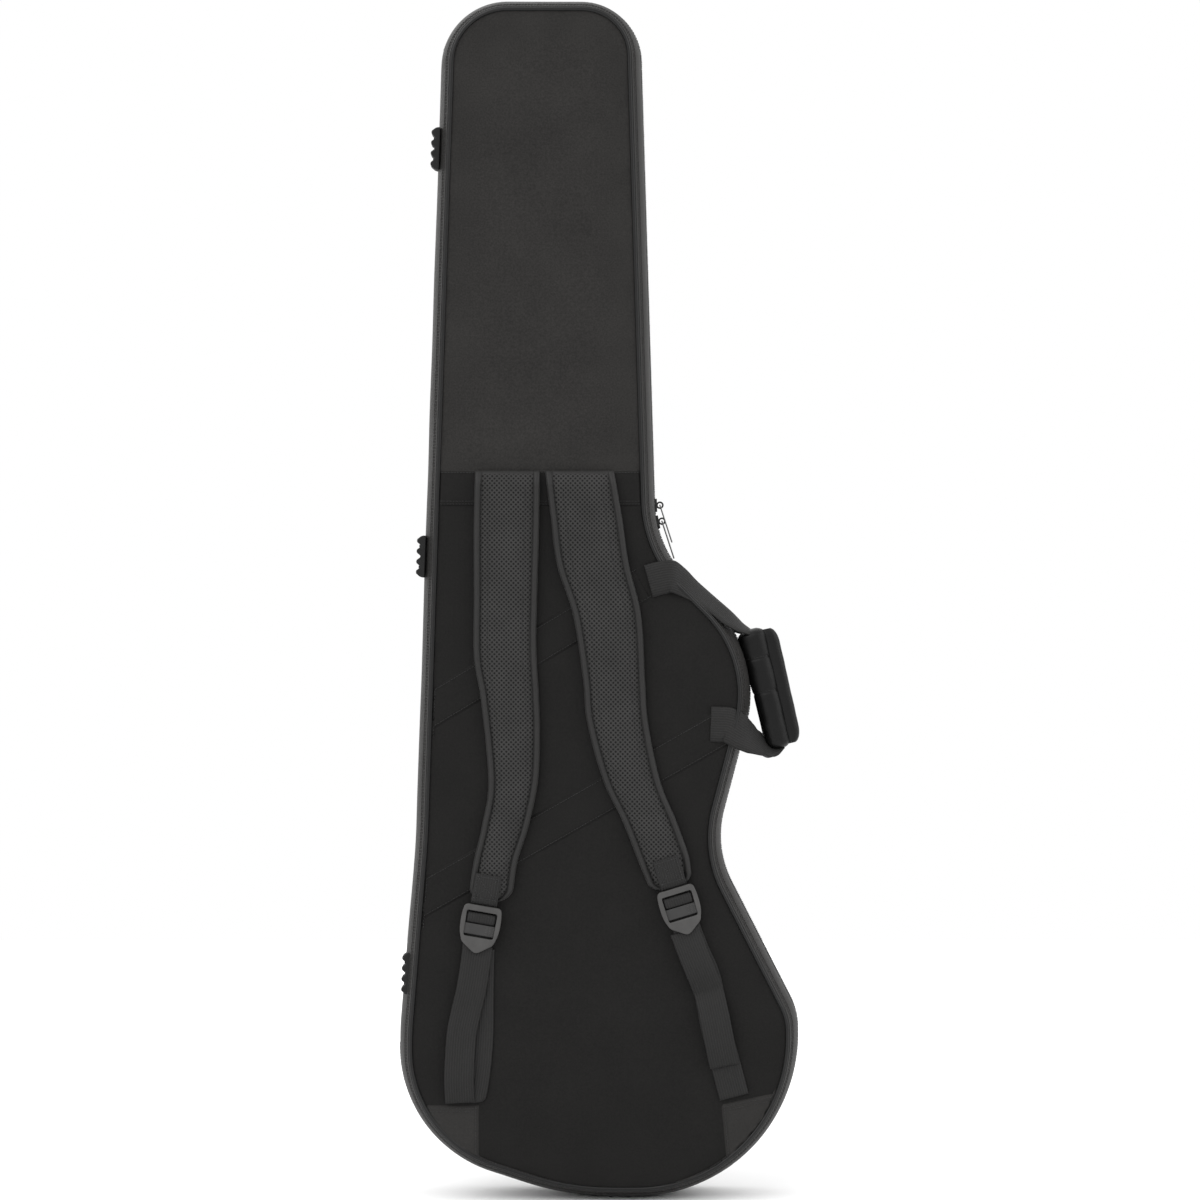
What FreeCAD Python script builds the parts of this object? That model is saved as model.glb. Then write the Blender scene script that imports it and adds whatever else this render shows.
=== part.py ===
import FreeCAD, Part
import math
import os
from FreeCAD import Placement, Rotation, Vector

# Padded gig bag for a long-necked electric instrument, standing with its neck up.
# X runs across the bag, Y from the back panel to the front panel, Z up the neck.

doc = FreeCAD.newDocument("GigBag")
sheet = doc.addObject("Spreadsheet::Sheet", "Sizes")

# Corners of the back panel's outline, clockwise from the head, seen from the back:
# name, X, Z, radius, and True where the corner turns inwards.
corners = [
    ("head_left", -152.5, 1247.0, 58.0, False),
    ("head_right", 30.5, 1247.0, 50.0, False),
    ("neck_right", 47.7, 679.0, 130.0, True),
    ("horn_right", 160.8, 565.8, 120.0, False),
    ("waist_right", 108.0, 366.0, 120.0, True),
    ("hip_right", 197.5, 191.0, 60.0, False),
    ("heel_right", 197.5, 12.4, 158.0, False),
    ("heel_middle", -30.6, 12.4, 300.0, False),
    ("heel_left", -197.5, 66.2, 125.0, False),
    ("hip_left", -197.5, 176.0, 300.0, False),
    ("waist_left", -181.0, 378.0, 900.0, True),
]

sizes = {
    "back_face": -57.0,
    "front_face": 53.0,
    "parting": -2.0,
    "parting_gap": 0.3,
    "bulge_low": 8.0,
    "bulge_full": 12.0,
    "bulge_low_depth": 19.0,
    "bulge_full_depth": 41.0,
    "skin": 0.8,
    "fit_gap": 0.05,
    "foam_floor": 15.0,
    "foam_inset": 6.0,
    "foam_rim": 1.5,
    "lining_skin": 1.2,
    "tape_width": 12.0,
    "chain_width": 1.2,
    "chain_proud": 0.4,
    "piping_out": 1.0,
    "piping_in": 2.2,
    "piping_proud": 1.4,
    "hinge_low": 170.0,
    "hinge_high": 1195.0,
    "webbing_thick": 1.1,
    "webbing_width": 30.0,
    "band_width": 38.0,
    "pad_back": -58.6,
    "pad_front": -71.1,
    "strap_seam": 764.0,
    "bar_depth": -67.7,
    "bar_radius": 2.6,
    "buckle_width": 41.0,
    "buckle_length": 46.0,
    "buckle_thick": 4.4,
    "slot_width": 31.6,
    "foot_length": 44.0,
    "foot_width": 28.0,
    "foot_height": 14.0,
    "tooth_depth": 3.5,
    "rivet_radius": 1.4,
    "grip_length": 120.0,
    "grip_width": 27.0,
    "grip_depth": 32.0,
    "grip_lean": 12.7,
    "grip_x": 175.7,
    "grip_y": -20.0,
    "grip_z": 535.0,
    "flap_width": 11.0,
    "flap_depth": 16.0,
    "flap_length": 104.0,
    "handle_width": 36.0,
    "handle_thick": 1.6,
    "leg_lift": 1.6,
    "leg_gap": 4.0,
    "leg_straight": 6.0,
    "leg_narrowing": 0.62,
    "slider_length": 14.0,
    "slider_width": 11.0,
    "slider_thick": 2.4,
    "crown_radius": 3.1,
    "wire_radius": 0.7,
    "pull_length": 41.0,
    "slider_upper_z": 728.5,
    "slider_lower_z": 711.0,
    "pocket_depth": 10.0,
    "pocket_skin": 1.2,
    "pocket_slit": 7.0,
    "cradle_low": 900.0,
    "cradle_high": 960.0,
    "cradle_notch": 62.0,
    "cradle_floor": 12.0,
}


def fill_sheet():
    """Writes every driving size to the sheet, one row each."""
    rows = list(sizes.items())
    for name, across, up, radius, _ in corners:
        rows += [(name + "_x", across), (name + "_z", up), (name + "_radius", radius)]
    for number, (alias, value) in enumerate(rows, start=1):
        sheet.set("A%d" % number, alias)
        sheet.set("B%d" % number, str(value))
        sheet.setAlias("B%d" % number, alias)
    doc.recompute()


def size(alias):
    return float(getattr(sheet, alias))


def bind(feature, **formulas):
    """Binds properties of a feature to the sheet's cells."""
    for prop, formula in formulas.items():
        feature.setExpression(prop.replace("__", "."), formula)


parts = []


def finish(feature, label):
    """Marks a feature as one of the bag's pieces, to be checked and written."""
    feature.Label = label
    parts.append(feature)
    return feature


def made(label, shape, base=None, turn=Rotation()):
    """A piece whose shape comes from Part's own functions, set where it belongs."""
    feature = doc.addObject("Part::Feature", label)
    feature.Shape = shape
    feature.Placement = shape.Placement if base is None else Placement(base, turn)
    return finish(feature, label)


def flat_to_space(point, depth):
    return Vector(point[0], depth, point[1])


def corner_arcs():
    """For each corner: arc centre, radius, turning sense and both outward normals."""
    arcs = []
    count = len(corners)
    places = [Vector(size(c[0] + "_x"), size(c[0] + "_z"), 0) for c in corners]
    for index, corner in enumerate(corners):
        here = places[index]
        inward = (here - places[index - 1]).normalize()
        outward = (places[(index + 1) % count] - here).normalize()
        normal_in = Vector(-inward.y, inward.x, 0)
        normal_out = Vector(-outward.y, outward.x, 0)
        radius = size(corner[0] + "_radius")
        half_turn = inward.getAngle(outward) / 2
        touch = here - inward * (radius * math.tan(half_turn))
        sense = -1 if corner[4] else 1
        centre = touch - normal_in * (radius * sense)
        arcs.append((centre, radius, sense, normal_in, normal_out))
    return arcs


def outline(grow, depth):
    """The bag's closed outline at a depth, grown outwards by a distance."""
    edges = []
    ends = []
    for centre, radius, sense, normal_in, normal_out in corner_arcs():
        reach = sense * (radius + sense * grow)
        middle = (normal_in + normal_out).normalize()
        ends.append([flat_to_space(centre + n * reach, depth) for n in (normal_in, middle, normal_out)])
    for index, (start, middle, stop) in enumerate(ends):
        edges.append(Part.Arc(start, middle, stop).toShape())
        edges.append(Part.makeLine(stop, ends[(index + 1) % len(ends)][0]))
    return Part.Wire(edges)


def bulge(depth):
    """How far the gusset stands out beyond the piping at a depth."""
    into = min(depth - size("back_face"), size("front_face") - depth)
    low, full = size("bulge_low_depth"), size("bulge_full_depth")
    if into >= full:
        return size("bulge_full")
    if into >= low:
        share = (into - low) / (full - low)
        return size("bulge_low") + share * (size("bulge_full") - size("bulge_low"))
    return size("bulge_low") * into / low


def shell_stations(start, stop):
    """The depths between two depths at which the gusset's slope changes."""
    marks = []
    for step in (size("bulge_low_depth"), size("bulge_full_depth")):
        marks += [size("back_face") + step, size("front_face") - step]
    return [start] + sorted(m for m in marks if start < m < stop) + [stop]


def bulged(start, stop, grow=0.0):
    """Solid that follows the gusset between two depths."""
    wires = [outline(bulge(d) + grow, d) for d in shell_stations(start, stop)]
    return Part.makeLoft(wires, True, True)


def slab(start, stop, grow):
    """Straight-sided solid of the outline between two depths."""
    face = Part.Face(outline(grow, start))
    return face.extrude(Vector(0, stop - start, 0))


def ring(start, stop, grow, thick):
    return slab(start, stop, grow).cut(slab(start - 1, stop + 1, grow - thick))


def hinge_zone():
    """Space along the left side where back and lid stay joined."""
    low, high = size("hinge_low"), size("hinge_high")
    return Part.makeBox(200, 200, high - low, Vector(-300, -100, low))


def brick(low, high):
    """Box between two corners given as (x, y, z)."""
    return Part.makeBox(*[b - a for a, b in zip(low, high)], Vector(*low))


def prism(points, start, stop):
    """Solid over a closed figure in the panel's plane, between two depths."""
    spots = [flat_to_space(p, start) for p in points]
    wire = Part.makePolygon(spots + [spots[0]])
    return Part.Face(wire).extrude(Vector(0, stop - start, 0))


def case_shells():
    """Back half and lid: panel skins, gussets, foam, lining and piping."""
    back, front = size("back_face"), size("front_face")
    skin, gap, parting = size("skin"), size("fit_gap"), size("parting")
    half = size("parting_gap")
    rim = parting - half
    lid_rim = parting + half
    tape_back = rim - size("tape_width")
    tape_front = lid_rim + size("tape_width")
    made("back_panel", slab(back, back + skin, 0))
    made("lid_panel", slab(front - skin, front, 0))
    wall = bulged(back + skin, tape_back).cut(bulged(back, tape_back + 1, -skin))
    made("back_gusset", wall)
    wall = bulged(tape_front, front - skin).cut(bulged(tape_front - 1, front, -skin))
    full = size("bulge_full")
    edge = ring(lid_rim, tape_front, full, skin)
    made("lid_gusset", wall.fuse(edge.common(hinge_zone())).removeSplitter())
    made("zipper_tape_front", edge.cut(hinge_zone()))
    edge = ring(tape_back, rim, full, skin)
    made("hinge_band", edge.common(hinge_zone()))
    made("zipper_tape_back", edge.cut(hinge_zone()))
    chain, proud = size("chain_width"), size("chain_proud")
    row = ring(rim - chain, rim + half / 2, full + proud, proud).cut(hinge_zone())
    made("zipper_chain_back", row)
    row = ring(lid_rim - half / 2, lid_rim + chain, full + proud, proud).cut(hinge_zone())
    made("zipper_chain_front", row)
    shave = -skin - gap
    inset, floor, lining = size("foam_inset"), size("foam_floor"), size("lining_skin")
    foam_back = back + skin + gap
    foam_front = front - skin - gap
    rim_back = parting - size("foam_rim")
    rim_front = parting + size("foam_rim")
    core = bulged(foam_back, rim_back, shave)
    made("back_foam_tray", core.cut(slab(foam_back + floor, rim_back + 1, -inset)))
    core = bulged(rim_front, foam_front, shave)
    made("lid_foam", core.cut(slab(rim_front - 1, foam_front - floor, -inset)))
    inner = -inset - gap
    base = foam_back + floor + gap
    tub = slab(base, rim_back, inner).cut(slab(base + lining, rim_back + 1, inner - lining))
    made("back_lining", tub)
    base = foam_front - floor - gap
    tub = slab(rim_front, base, inner).cut(slab(rim_front - 1, base - lining, inner - lining))
    made("lid_lining", tub)
    out, reach, rise = size("piping_out"), size("piping_in"), size("piping_proud")
    made("back_piping", ring(back - rise, back, out, out + reach))
    made("lid_piping", ring(front, front + rise, out, out + reach))


def panel_bands():
    """Webbing bands and corner patches sewn flat on the back panel."""
    face = size("back_face")
    top = face - size("webbing_thick")
    inside = slab(top, face, -size("piping_in") - 0.5)
    seam, width = size("strap_seam"), size("band_width")
    made("strap_anchor_band", brick((-200, top, seam - width), (100, face, seam)).common(inside))
    made("corner_patch_left", brick((-200, top, 0), (-125.4, face, 100.8)).common(inside))
    right = prism([(127.5, 101.9), (210, 118.8), (210, 0), (138, 0)], top, face)
    made("corner_patch_right", right.common(inside))
    for label, low, high in (
        ("handle_band_upper", (-190, 483.2), (43, 622.5)),
        ("handle_band_lower", (-200, 285.7), (112, 463.1)),
    ):
        run = Vector(high[0] - low[0], high[1] - low[1], 0).normalize()
        up = Vector(-run.y, run.x, 0) * width
        corners_here = [low, high, (high[0] + up.x, high[1] + up.y), (low[0] + up.x, low[1] + up.y)]
        made(label, prism(corners_here, top, face).common(inside))


def foot(label, across, up):
    """Ribbed rubber foot that fits the gusset and ends on the plane of all three feet."""
    length, width, height = size("foot_length"), size("foot_width"), size("foot_height")
    tooth = size("tooth_depth")
    pitch = length / 4
    body = brick((0, -width, -length / 2), (height, 0, length / 2))
    for step in range(3):
        middle = -length / 2 + pitch * (step + 1)
        body = body.cut(brick((-1, -width - 1, middle - 1.5), (tooth, 1, middle + 1.5)))
    lean = Rotation(Vector(0, 1, 0), foot_lean())
    body.Placement = Placement(Vector(across, -16, up), lean)
    return made(label, body.cut(bulged(size("back_face"), size("parting"), 0.02)))


def foot_lean():
    """Angle of the line through the feet, which leans with the bag's left side."""
    return math.degrees(math.atan2(30.8, 866.3))


def feet():
    """Three feet along the left gusset, and the rivets that hold them."""
    rivets = []
    places = (("foot_top", -176.6, 1103.0), ("foot_middle", -191.8, 674.5), ("foot_bottom", -207.4, 236.7))
    lean = Rotation(Vector(0, 1, 0), foot_lean())
    pitch = size("foot_length") / 4
    for label, across, up in places:
        piece = foot(label, across, up)
        for side in (-1, 1):
            local = Vector(size("tooth_depth"), -size("foot_width") / 2, side * pitch)
            spot = Vector(across, -16, up) + lean.multVec(local)
            pin = Part.makeCylinder(size("rivet_radius"), 1.2, spot, lean.multVec(Vector(-1, 0, 0)))
            rivets.append(pin)
    made("foot_rivets", Part.makeCompound(rivets))


def spline_edge(points, depth):
    curve = Part.BSplineCurve()
    curve.interpolate([flat_to_space(p, depth) for p in points])
    return curve.toShape()


def shoulder_pad(label, left, right):
    """Padded strap: two long curved edges closed by a seam above and a round end below."""
    depth = size("pad_back")
    top = Part.makeLine(flat_to_space(left[0], depth), flat_to_space(right[0], depth))
    low_left, low_right = flat_to_space(left[-1], depth), flat_to_space(right[-1], depth)
    across = low_right - low_left
    down = Vector(across.z, 0, -across.x).normalize()
    tip = (low_left + low_right) * 0.5 + down * (across.Length * 0.22)
    end = Part.Arc(low_left, tip, low_right).toShape()
    wire = Part.Wire(Part.__sortEdges__([top, spline_edge(left, depth), spline_edge(right, depth), end]))
    solid = Part.Face(wire).extrude(Vector(0, size("pad_front") - depth, 0))
    made(label, solid)


def keeper(label, base, turn):
    """Webbing sewn on the pad's end, folded round the buckle's top bar."""
    half = size("webbing_width") / 2
    thick = size("webbing_thick")
    outer = size("bar_depth") - size("pad_front") + thick
    inner = outer - thick
    leg = brick((-half, -outer, 0), (half, -inner, 34))
    tube = Part.makeCylinder(outer, 2 * half, Vector(-half, 0, 0), Vector(1, 0, 0))
    tube = tube.cut(Part.makeCylinder(inner, 2 * half, Vector(-half, 0, 0), Vector(1, 0, 0)))
    fold = tube.cut(brick((-half - 1, -9, 0), (half + 1, 9, 9)))
    back = brick((-half, inner, 0), (half, outer, 4.5))
    made(label, leg.fuse([fold, back]).removeSplitter(), base, turn)


def buckle(label, base, turn):
    """Ladder lock: side rails, top bar, middle bar and a pointed tab to lift."""
    body = doc.addObject("PartDesign::Body", label + "_body")
    plane = [f for f in body.Origin.OriginFeatures if f.Role == "XZ_Plane"][0]
    frame = body.newObject("Sketcher::SketchObject", label + "_frame")
    frame.AttachmentSupport = (plane, [""])
    frame.MapMode = "FlatFace"
    half, low, bar = size("buckle_width") / 2, size("buckle_length"), size("bar_radius")
    rim = [(-half + 3, bar), (half - 3, bar), (half, bar - 3), (half - 2, 13 - low),
           (0, -low), (2 - half, 13 - low), (-half, bar - 3)]
    add_loop(frame, rim)
    pad = body.newObject("PartDesign::Pad", label + "_plate")
    pad.Profile = frame
    pad.Midplane = True
    bind(pad, Length="Sizes.buckle_thick")
    doc.recompute()
    slots = body.newObject("Sketcher::SketchObject", label + "_slots")
    slots.AttachmentSupport = (plane, [""])
    slots.MapMode = "FlatFace"
    reach = size("slot_width") / 2
    for high, bottom in ((-bar, -14.0), (-20.0, -28.0)):
        add_loop(slots, [(-reach, high), (reach, high), (reach, bottom), (-reach, bottom)])
    cut = body.newObject("PartDesign::Pocket", label + "_windows")
    cut.Profile = slots
    cut.Midplane = True
    cut.Type = 1
    before = pad.Shape.Volume
    doc.recompute()
    if cut.Shape.Volume >= before:
        raise RuntimeError("the windows of %s removed nothing" % label)
    body.Placement = Placement(base, turn)
    finish(body, label)


def add_loop(sketch, points):
    """Adds a closed chain of lines to a sketch."""
    for index, point in enumerate(points):
        following = points[(index + 1) % len(points)]
        start, stop = Vector(point[0], point[1], 0), Vector(following[0], following[1], 0)
        sketch.addGeometry(Part.LineSegment(start, stop), False)


def webbing_loop(label, base, turn):
    """Adjusting webbing where it passes over the buckle's middle bar."""
    half, thick = size("webbing_width") / 2, size("webbing_thick")
    face = size("buckle_thick") / 2 + 0.2
    spans = [
        ((-half, -face - thick, -22.5), (half, -face, -11.5)),
        ((-half, -face, -12.6), (half, face + thick, -11.5)),
        ((-half, -face, -22.5), (half, face + thick, -21.4)),
        ((-half, face, -44.0), (half, face + thick, -21.4)),
    ]
    solids = [brick(low, high) for low, high in spans]
    made(label, solids[0].fuse(solids[1:]).removeSplitter(), base, turn)


def triangle(first, second, third):
    return Part.Face(Part.makePolygon([first, second, third, first]))


def ribbon(stations, thick):
    """Flat webbing through stations of (centre, direction of its width, width)."""
    rings = []
    for index, (centre, across, width) in enumerate(stations):
        before = stations[max(index - 1, 0)][0]
        after = stations[min(index + 1, len(stations) - 1)][0]
        along = (after - before).normalize()
        side = (across - along * across.dot(along)).normalize() * (width / 2)
        face = along.cross(side).normalize() * (thick / 2)
        rings.append([centre + side + face, centre - side + face, centre - side - face, centre + side - face])
    faces = []
    for here, there in zip(rings, rings[1:]):
        for turn in range(4):
            following = (turn + 1) % 4
            faces.append(triangle(here[turn], here[following], there[following]))
            faces.append(triangle(here[turn], there[following], there[turn]))
    for spots in (rings[0], rings[-1]):
        faces.append(triangle(spots[0], spots[1], spots[2]))
        faces.append(triangle(spots[0], spots[2], spots[3]))
    solid = Part.makeSolid(Part.makeShell(faces))
    if solid.Volume < 0:
        solid.reverse()
    return solid


def lower_straps():
    """Webbing from under each buckle to its corner patch, and its loose tail."""
    wide, thick = size("webbing_width"), size("webbing_thick")
    flat = Vector(1, 0, 0)
    runs = {
        "left": [(-129.3, -63.0, 258.0), (-133.5, -62.6, 223.0), (-143.0, -61.5, 177.0),
                 (-146.0, -60.4, 142.0), (-142.3, -59.6, 103.0)],
        "right": [(92.0, -63.0, 277.0), (111.8, -62.6, 232.5), (121.7, -61.5, 183.4),
                  (132.5, -60.4, 143.7), (141.5, -59.6, 109.0)],
    }
    tails = {
        "left": [(-124.0, -65.6, 258.0), (-122.5, -65.4, 210.0), (-124.0, -64.6, 160.0), (-129.0, -63.6, 116.0)],
        "right": [(93.5, -65.6, 272.0), (112.0, -65.4, 228.0), (121.0, -64.6, 188.0), (131.0, -63.8, 148.0)],
    }
    for side in ("left", "right"):
        for label, run in (("lower_webbing_", runs[side]), ("webbing_tail_", tails[side])):
            stations = [(Vector(*spot), flat, wide) for spot in run]
            made(label + side, ribbon(stations, thick))


def shoulder_straps():
    """Both shoulder straps with their keepers, buckles and webbing."""
    shoulder_pad(
        "shoulder_pad_left",
        [(-129.6, 759), (-130.6, 637), (-130.6, 569), (-123.3, 524), (-115, 440), (-122.3, 393), (-132, 333)],
        [(-61.7, 759), (-63.7, 637), (-66, 569), (-62, 524), (-62.7, 440), (-73.2, 393), (-91, 325)],
    )
    shoulder_pad(
        "shoulder_pad_right",
        [(-56.4, 759), (-43.9, 665), (-27.2, 613), (-16.7, 545), (4.2, 440), (39.7, 359), (55, 337)],
        [(15.7, 759), (31.4, 665), (43.9, 613), (48, 545), (63.7, 440), (88, 368), (95, 349)],
    )
    depth = size("bar_depth")
    for side, across, up, lean in (("left", -121.0, 306.5, 10.0), ("right", 79.5, 325.0, -17.0)):
        base = Vector(across, depth, up)
        turn = Rotation(Vector(0, 1, 0), lean)
        keeper("buckle_keeper_" + side, base, turn)
        buckle("buckle_" + side, base, turn)
        webbing_loop("buckle_webbing_" + side, base, turn)
    lower_straps()


def grip_place():
    lean = Rotation(Vector(0, 1, 0), -size("grip_lean"))
    return Placement(Vector(size("grip_x"), size("grip_y"), size("grip_z")), lean)


def grip_spot(across, deep, up):
    """A point given beside the grip's own middle."""
    return grip_place().multVec(Vector(across, deep, up))


def handle_legs(face, grip_deep, across):
    """Two webbing legs from the anchors on a panel to the ends of the grip."""
    wide, thick = size("handle_width"), size("handle_thick")
    sign = math.copysign(1, face)
    end_up = size("grip_length") / 2 + size("leg_gap")
    deep = Vector(0, sign, 0)
    lift = face + sign * (thick / 2 + size("leg_lift"))
    slope_up = Vector(-0.51, 0, -0.86)
    slope_down = Vector(-0.29, 0, -0.96)
    end_wide = size("grip_depth") * size("leg_narrowing")
    halfway = (face + size("grip_y") + grip_deep) / 2
    upper = [
        (Vector(51, lift, 651), slope_up, wide),
        (Vector(74, lift + sign * 2, 642), slope_up, wide),
        (Vector(108, lift + sign * 5, 629), slope_up, wide * 0.9),
        (Vector(127, lift + sign, 624), slope_up + deep * 0.3, wide * 0.85),
        (Vector(147, halfway, 619), across + slope_up * 0.6, wide * 0.75),
        (grip_spot(0, grip_deep, end_up + size("leg_straight")), across, end_wide),
        (grip_spot(0, grip_deep, end_up), across, end_wide),
    ]
    lower = [
        (grip_spot(0, grip_deep, -end_up), across, end_wide),
        (grip_spot(0, grip_deep, -end_up - size("leg_straight")), across, end_wide),
        (Vector(174, halfway, 461), across + slope_down * 0.6, wide * 0.75),
        (Vector(162, face * 0.96, 476), slope_down + deep * 0.1, wide * 0.85),
        (Vector(148, lift + sign * 1.5, 483), slope_down, wide),
        (Vector(115, lift, 493), slope_down, wide),
    ]
    return [ribbon(upper, thick), ribbon(lower, thick)]


def carry_handle():
    """Padded grip with its closing flap, and a webbing loop from each panel."""
    length, wide, deep = size("grip_length"), size("grip_width"), size("grip_depth")
    thick, end_wide = size("handle_thick"), size("grip_depth") * size("leg_narrowing")
    legs = handle_legs(size("back_face"), 0, Vector(0, -1, 0))
    core = brick((-thick / 2, -end_wide / 2, -length / 2), (thick / 2, end_wide / 2, length / 2))
    core.Placement = grip_place()
    made("handle_webbing_back", Part.makeCompound(legs + [core]))
    roll = brick((-wide / 2, -deep / 2, -length / 2), (wide / 2, deep / 2, length / 2))
    edges = [e for e in roll.Edges if abs(e.tangentAt(e.FirstParameter).z) > 0.9]
    roll = roll.makeFillet(wide * 0.45, edges)
    slot = brick((-thick / 2, -end_wide / 2, -length), (thick / 2, end_wide / 2, length))
    roll = roll.cut(slot)
    roll.Placement = grip_place()
    made("handle_grip", roll)
    reach, deep_flap, long = size("flap_width"), size("flap_depth"), size("flap_length")
    start = wide / 2 + 0.4
    flap = brick((start, -deep_flap / 2, -long / 2), (start + reach, deep_flap / 2, long / 2))
    edges = [e for e in flap.Edges if abs(e.tangentAt(e.FirstParameter).y) > 0.9]
    flap = flap.makeFillet(reach * 0.4, edges)
    flap.Placement = grip_place()
    made("grip_flap", flap)
    beside = deep / 2 + 0.6 + thick / 2
    across = grip_place().Rotation.multVec(Vector(-1, 0, 0))
    legs = handle_legs(size("front_face"), beside, across)
    half = length / 2 + 0.2
    low, high = (-end_wide / 2, beside - thick / 2, -half), (end_wide / 2, beside + thick / 2, half)
    core = brick(low, high)
    core.Placement = grip_place()
    made("handle_webbing_front", Part.makeCompound(legs + [core]))


def neck_side():
    """Direction up the straight right side of the neck, and its outward normal."""
    low = Vector(size("neck_right_x"), 0, size("neck_right_z"))
    high = Vector(size("head_right_x"), 0, size("head_right_z"))
    up = (high - low).normalize()
    return low, up, Vector(up.z, 0, -up.x)


def slider_frames():
    """Places of the two main sliders: middle of the chain's face and angle of lean."""
    low, up, normal = neck_side()
    reach = size("bulge_full") + size("chain_proud") + 0.4
    along = (size("slider_upper_z") - low.z) / up.z
    upper = low + up * along + normal * reach
    lean = math.degrees(math.atan2(up.x, up.z))
    centre, radius = corner_arcs()[2][0:2]
    arc_radius = radius - reach
    drop = centre.y - size("slider_lower_z")
    angle = math.asin(drop / arc_radius)
    lower = Vector(centre.x - arc_radius * math.cos(angle), 0, size("slider_lower_z"))
    return (upper, lean), (lower, -math.degrees(angle))


def slider(label, base, turn):
    """Slider body with a round crown that carries the pull."""
    thick, wide, length = size("slider_thick"), size("slider_width"), size("slider_length")
    body = brick((0, -wide / 2, -length / 2), (thick, wide / 2, length / 2))
    ends = [e for e in body.Edges if abs(e.tangentAt(e.FirstParameter).x) > 0.9]
    body = body.makeFillet(3.0, ends)
    radius = size("crown_radius")
    hub = Vector(thick + radius, 0, 0)
    crown = Part.makeTorus(radius, 0.9, hub, Vector(0, 1, 0))
    crown = crown.common(brick((thick - 0.6, -4, -9), (20, 4, 9)))
    made(label, body.fuse(crown).removeSplitter(), base, turn)


def pull(label, half_width, base, turn):
    """Bent wire pull: a pin through the crown, two legs and a lower bar."""
    wire, length = size("wire_radius"), size("pull_length")
    solids = []
    for up in (0, -length):
        solids.append(Part.makeCylinder(wire, 2 * half_width, Vector(0, -half_width, up), Vector(0, 1, 0)))
    for side in (-half_width, half_width):
        solids.append(Part.makeCylinder(wire, length, Vector(0, side, -length), Vector(0, 0, 1)))
        for up in (0, -length):
            solids.append(Part.makeSphere(wire, Vector(0, side, up)))
    made(label, solids[0].fuse(solids[1:]), base, turn)


def main_zipper_sliders():
    depth = Vector(0, size("parting"), 0)
    frames = slider_frames()
    hang = Rotation(Vector(0, 1, 0), -18)
    for side, half_width, (spot, lean) in zip(("upper", "lower"), (2.6, 4.5), frames):
        turn = Rotation(Vector(0, 1, 0), lean)
        base = spot + depth
        slider("main_slider_" + side, base, turn)
        hub = base + turn.multVec(Vector(size("slider_thick") + size("crown_radius"), 0, 0))
        pull("main_pull_" + side, half_width, hub, hang)


def pocket(label, low, high, deep):
    """Flat front pocket: a shell open to the lid panel, with a slit for its zipper."""
    face, skin, slit = size("front_face"), size("pocket_skin"), size("pocket_slit")
    outer = brick((low[0], face, low[1]), (high[0], face + deep, high[1]))
    edges = [e for e in outer.Edges if abs(e.tangentAt(e.FirstParameter).y) > 0.9]
    outer = outer.makeFillet(24, edges)
    inner = brick((low[0] + skin, face - 1, low[1] + skin),
                  (high[0] - skin, face + deep - skin, high[1] - skin))
    edges = [e for e in inner.Edges if abs(e.tangentAt(e.FirstParameter).y) > 0.9]
    inner = inner.makeFillet(24 - skin, edges)
    mouth = high[1] - 26
    opening = brick((low[0] + 14, face + deep - skin - 1, mouth - slit / 2),
                    (high[0] - 14, face + deep + 1, mouth + slit / 2))
    made(label, outer.cut(inner).cut(opening))
    chain = brick((low[0] + 14.1, face + deep - skin, mouth - slit / 2 + 0.1),
                  (high[0] - 14.1, face + deep, mouth + slit / 2 - 0.1))
    made(label + "_zipper", chain)
    turn = Rotation(Vector(0, 0, 1), 90) * Rotation(Vector(1, 0, 0), 90)
    base = Vector(low[0] + 26, face + deep + 0.4, mouth)
    slider(label + "_slider", base, turn)
    hub = base + Vector(0, size("slider_thick") + size("crown_radius"), 0)
    pull(label + "_pull", 2.8, hub, Rotation(Vector(0, 0, 1), -90) * Rotation(Vector(1, 0, 0), 90))


def front_pockets():
    pocket("front_pocket_large", (-150, 80), (105, 330), size("pocket_depth"))
    pocket("front_pocket_small", (-128, 760), (8, 1010), size("pocket_depth") - 1)


def inner_blocks():
    """Foam neck cradle and heel pad glued inside the back half."""
    base = size("back_face") + size("skin") + 3 * size("fit_gap") + size("foam_floor") + size("lining_skin")
    top = size("parting") - size("foam_rim") - 0.5
    room = slab(base, top, -size("foam_inset") - size("lining_skin") - 0.3)
    low, high = size("cradle_low"), size("cradle_high")
    block = brick((-200, base, low), (100, top, high)).common(room)
    left = -61.5 - size("cradle_notch") / 2
    notch = brick((left, base + size("cradle_floor"), low - 1), (left + size("cradle_notch"), top + 1, high + 1))
    edges = [e for e in notch.Edges if abs(e.tangentAt(e.FirstParameter).z) > 0.9]
    block = block.cut(notch.makeFillet(10, edges))
    made("neck_cradle", block)
    heel = brick((-70, base, 0), (70, top, 52)).common(room)
    heel = heel.cut(Part.makeCylinder(14, 80, Vector(0, base - 1, 52), Vector(0, 1, 0)))
    made("heel_pad", heel)


def write_parts():
    """Checks every object and writes one file for each piece."""
    doc.recompute()
    for item in doc.Objects:
        if "Invalid" in item.State or "Error" in item.State:
            raise RuntimeError("%s failed" % item.Label)
    os.makedirs("parts", exist_ok=True)
    for feature in parts:
        shape = feature.Shape
        if shape.isNull() or not shape.isValid() or not shape.Solids:
            raise RuntimeError("%s has no valid shape" % feature.Label)
        shape.exportStep("parts/%s.step" % feature.Label)
    box = Part.makeCompound([f.Shape for f in parts]).BoundBox
    print("%d pieces, %s" % (len(parts), box))


fill_sheet()
case_shells()
panel_bands()
feet()
shoulder_straps()
carry_handle()
main_zipper_sliders()
front_pockets()
inner_blocks()
write_parts()
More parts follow.
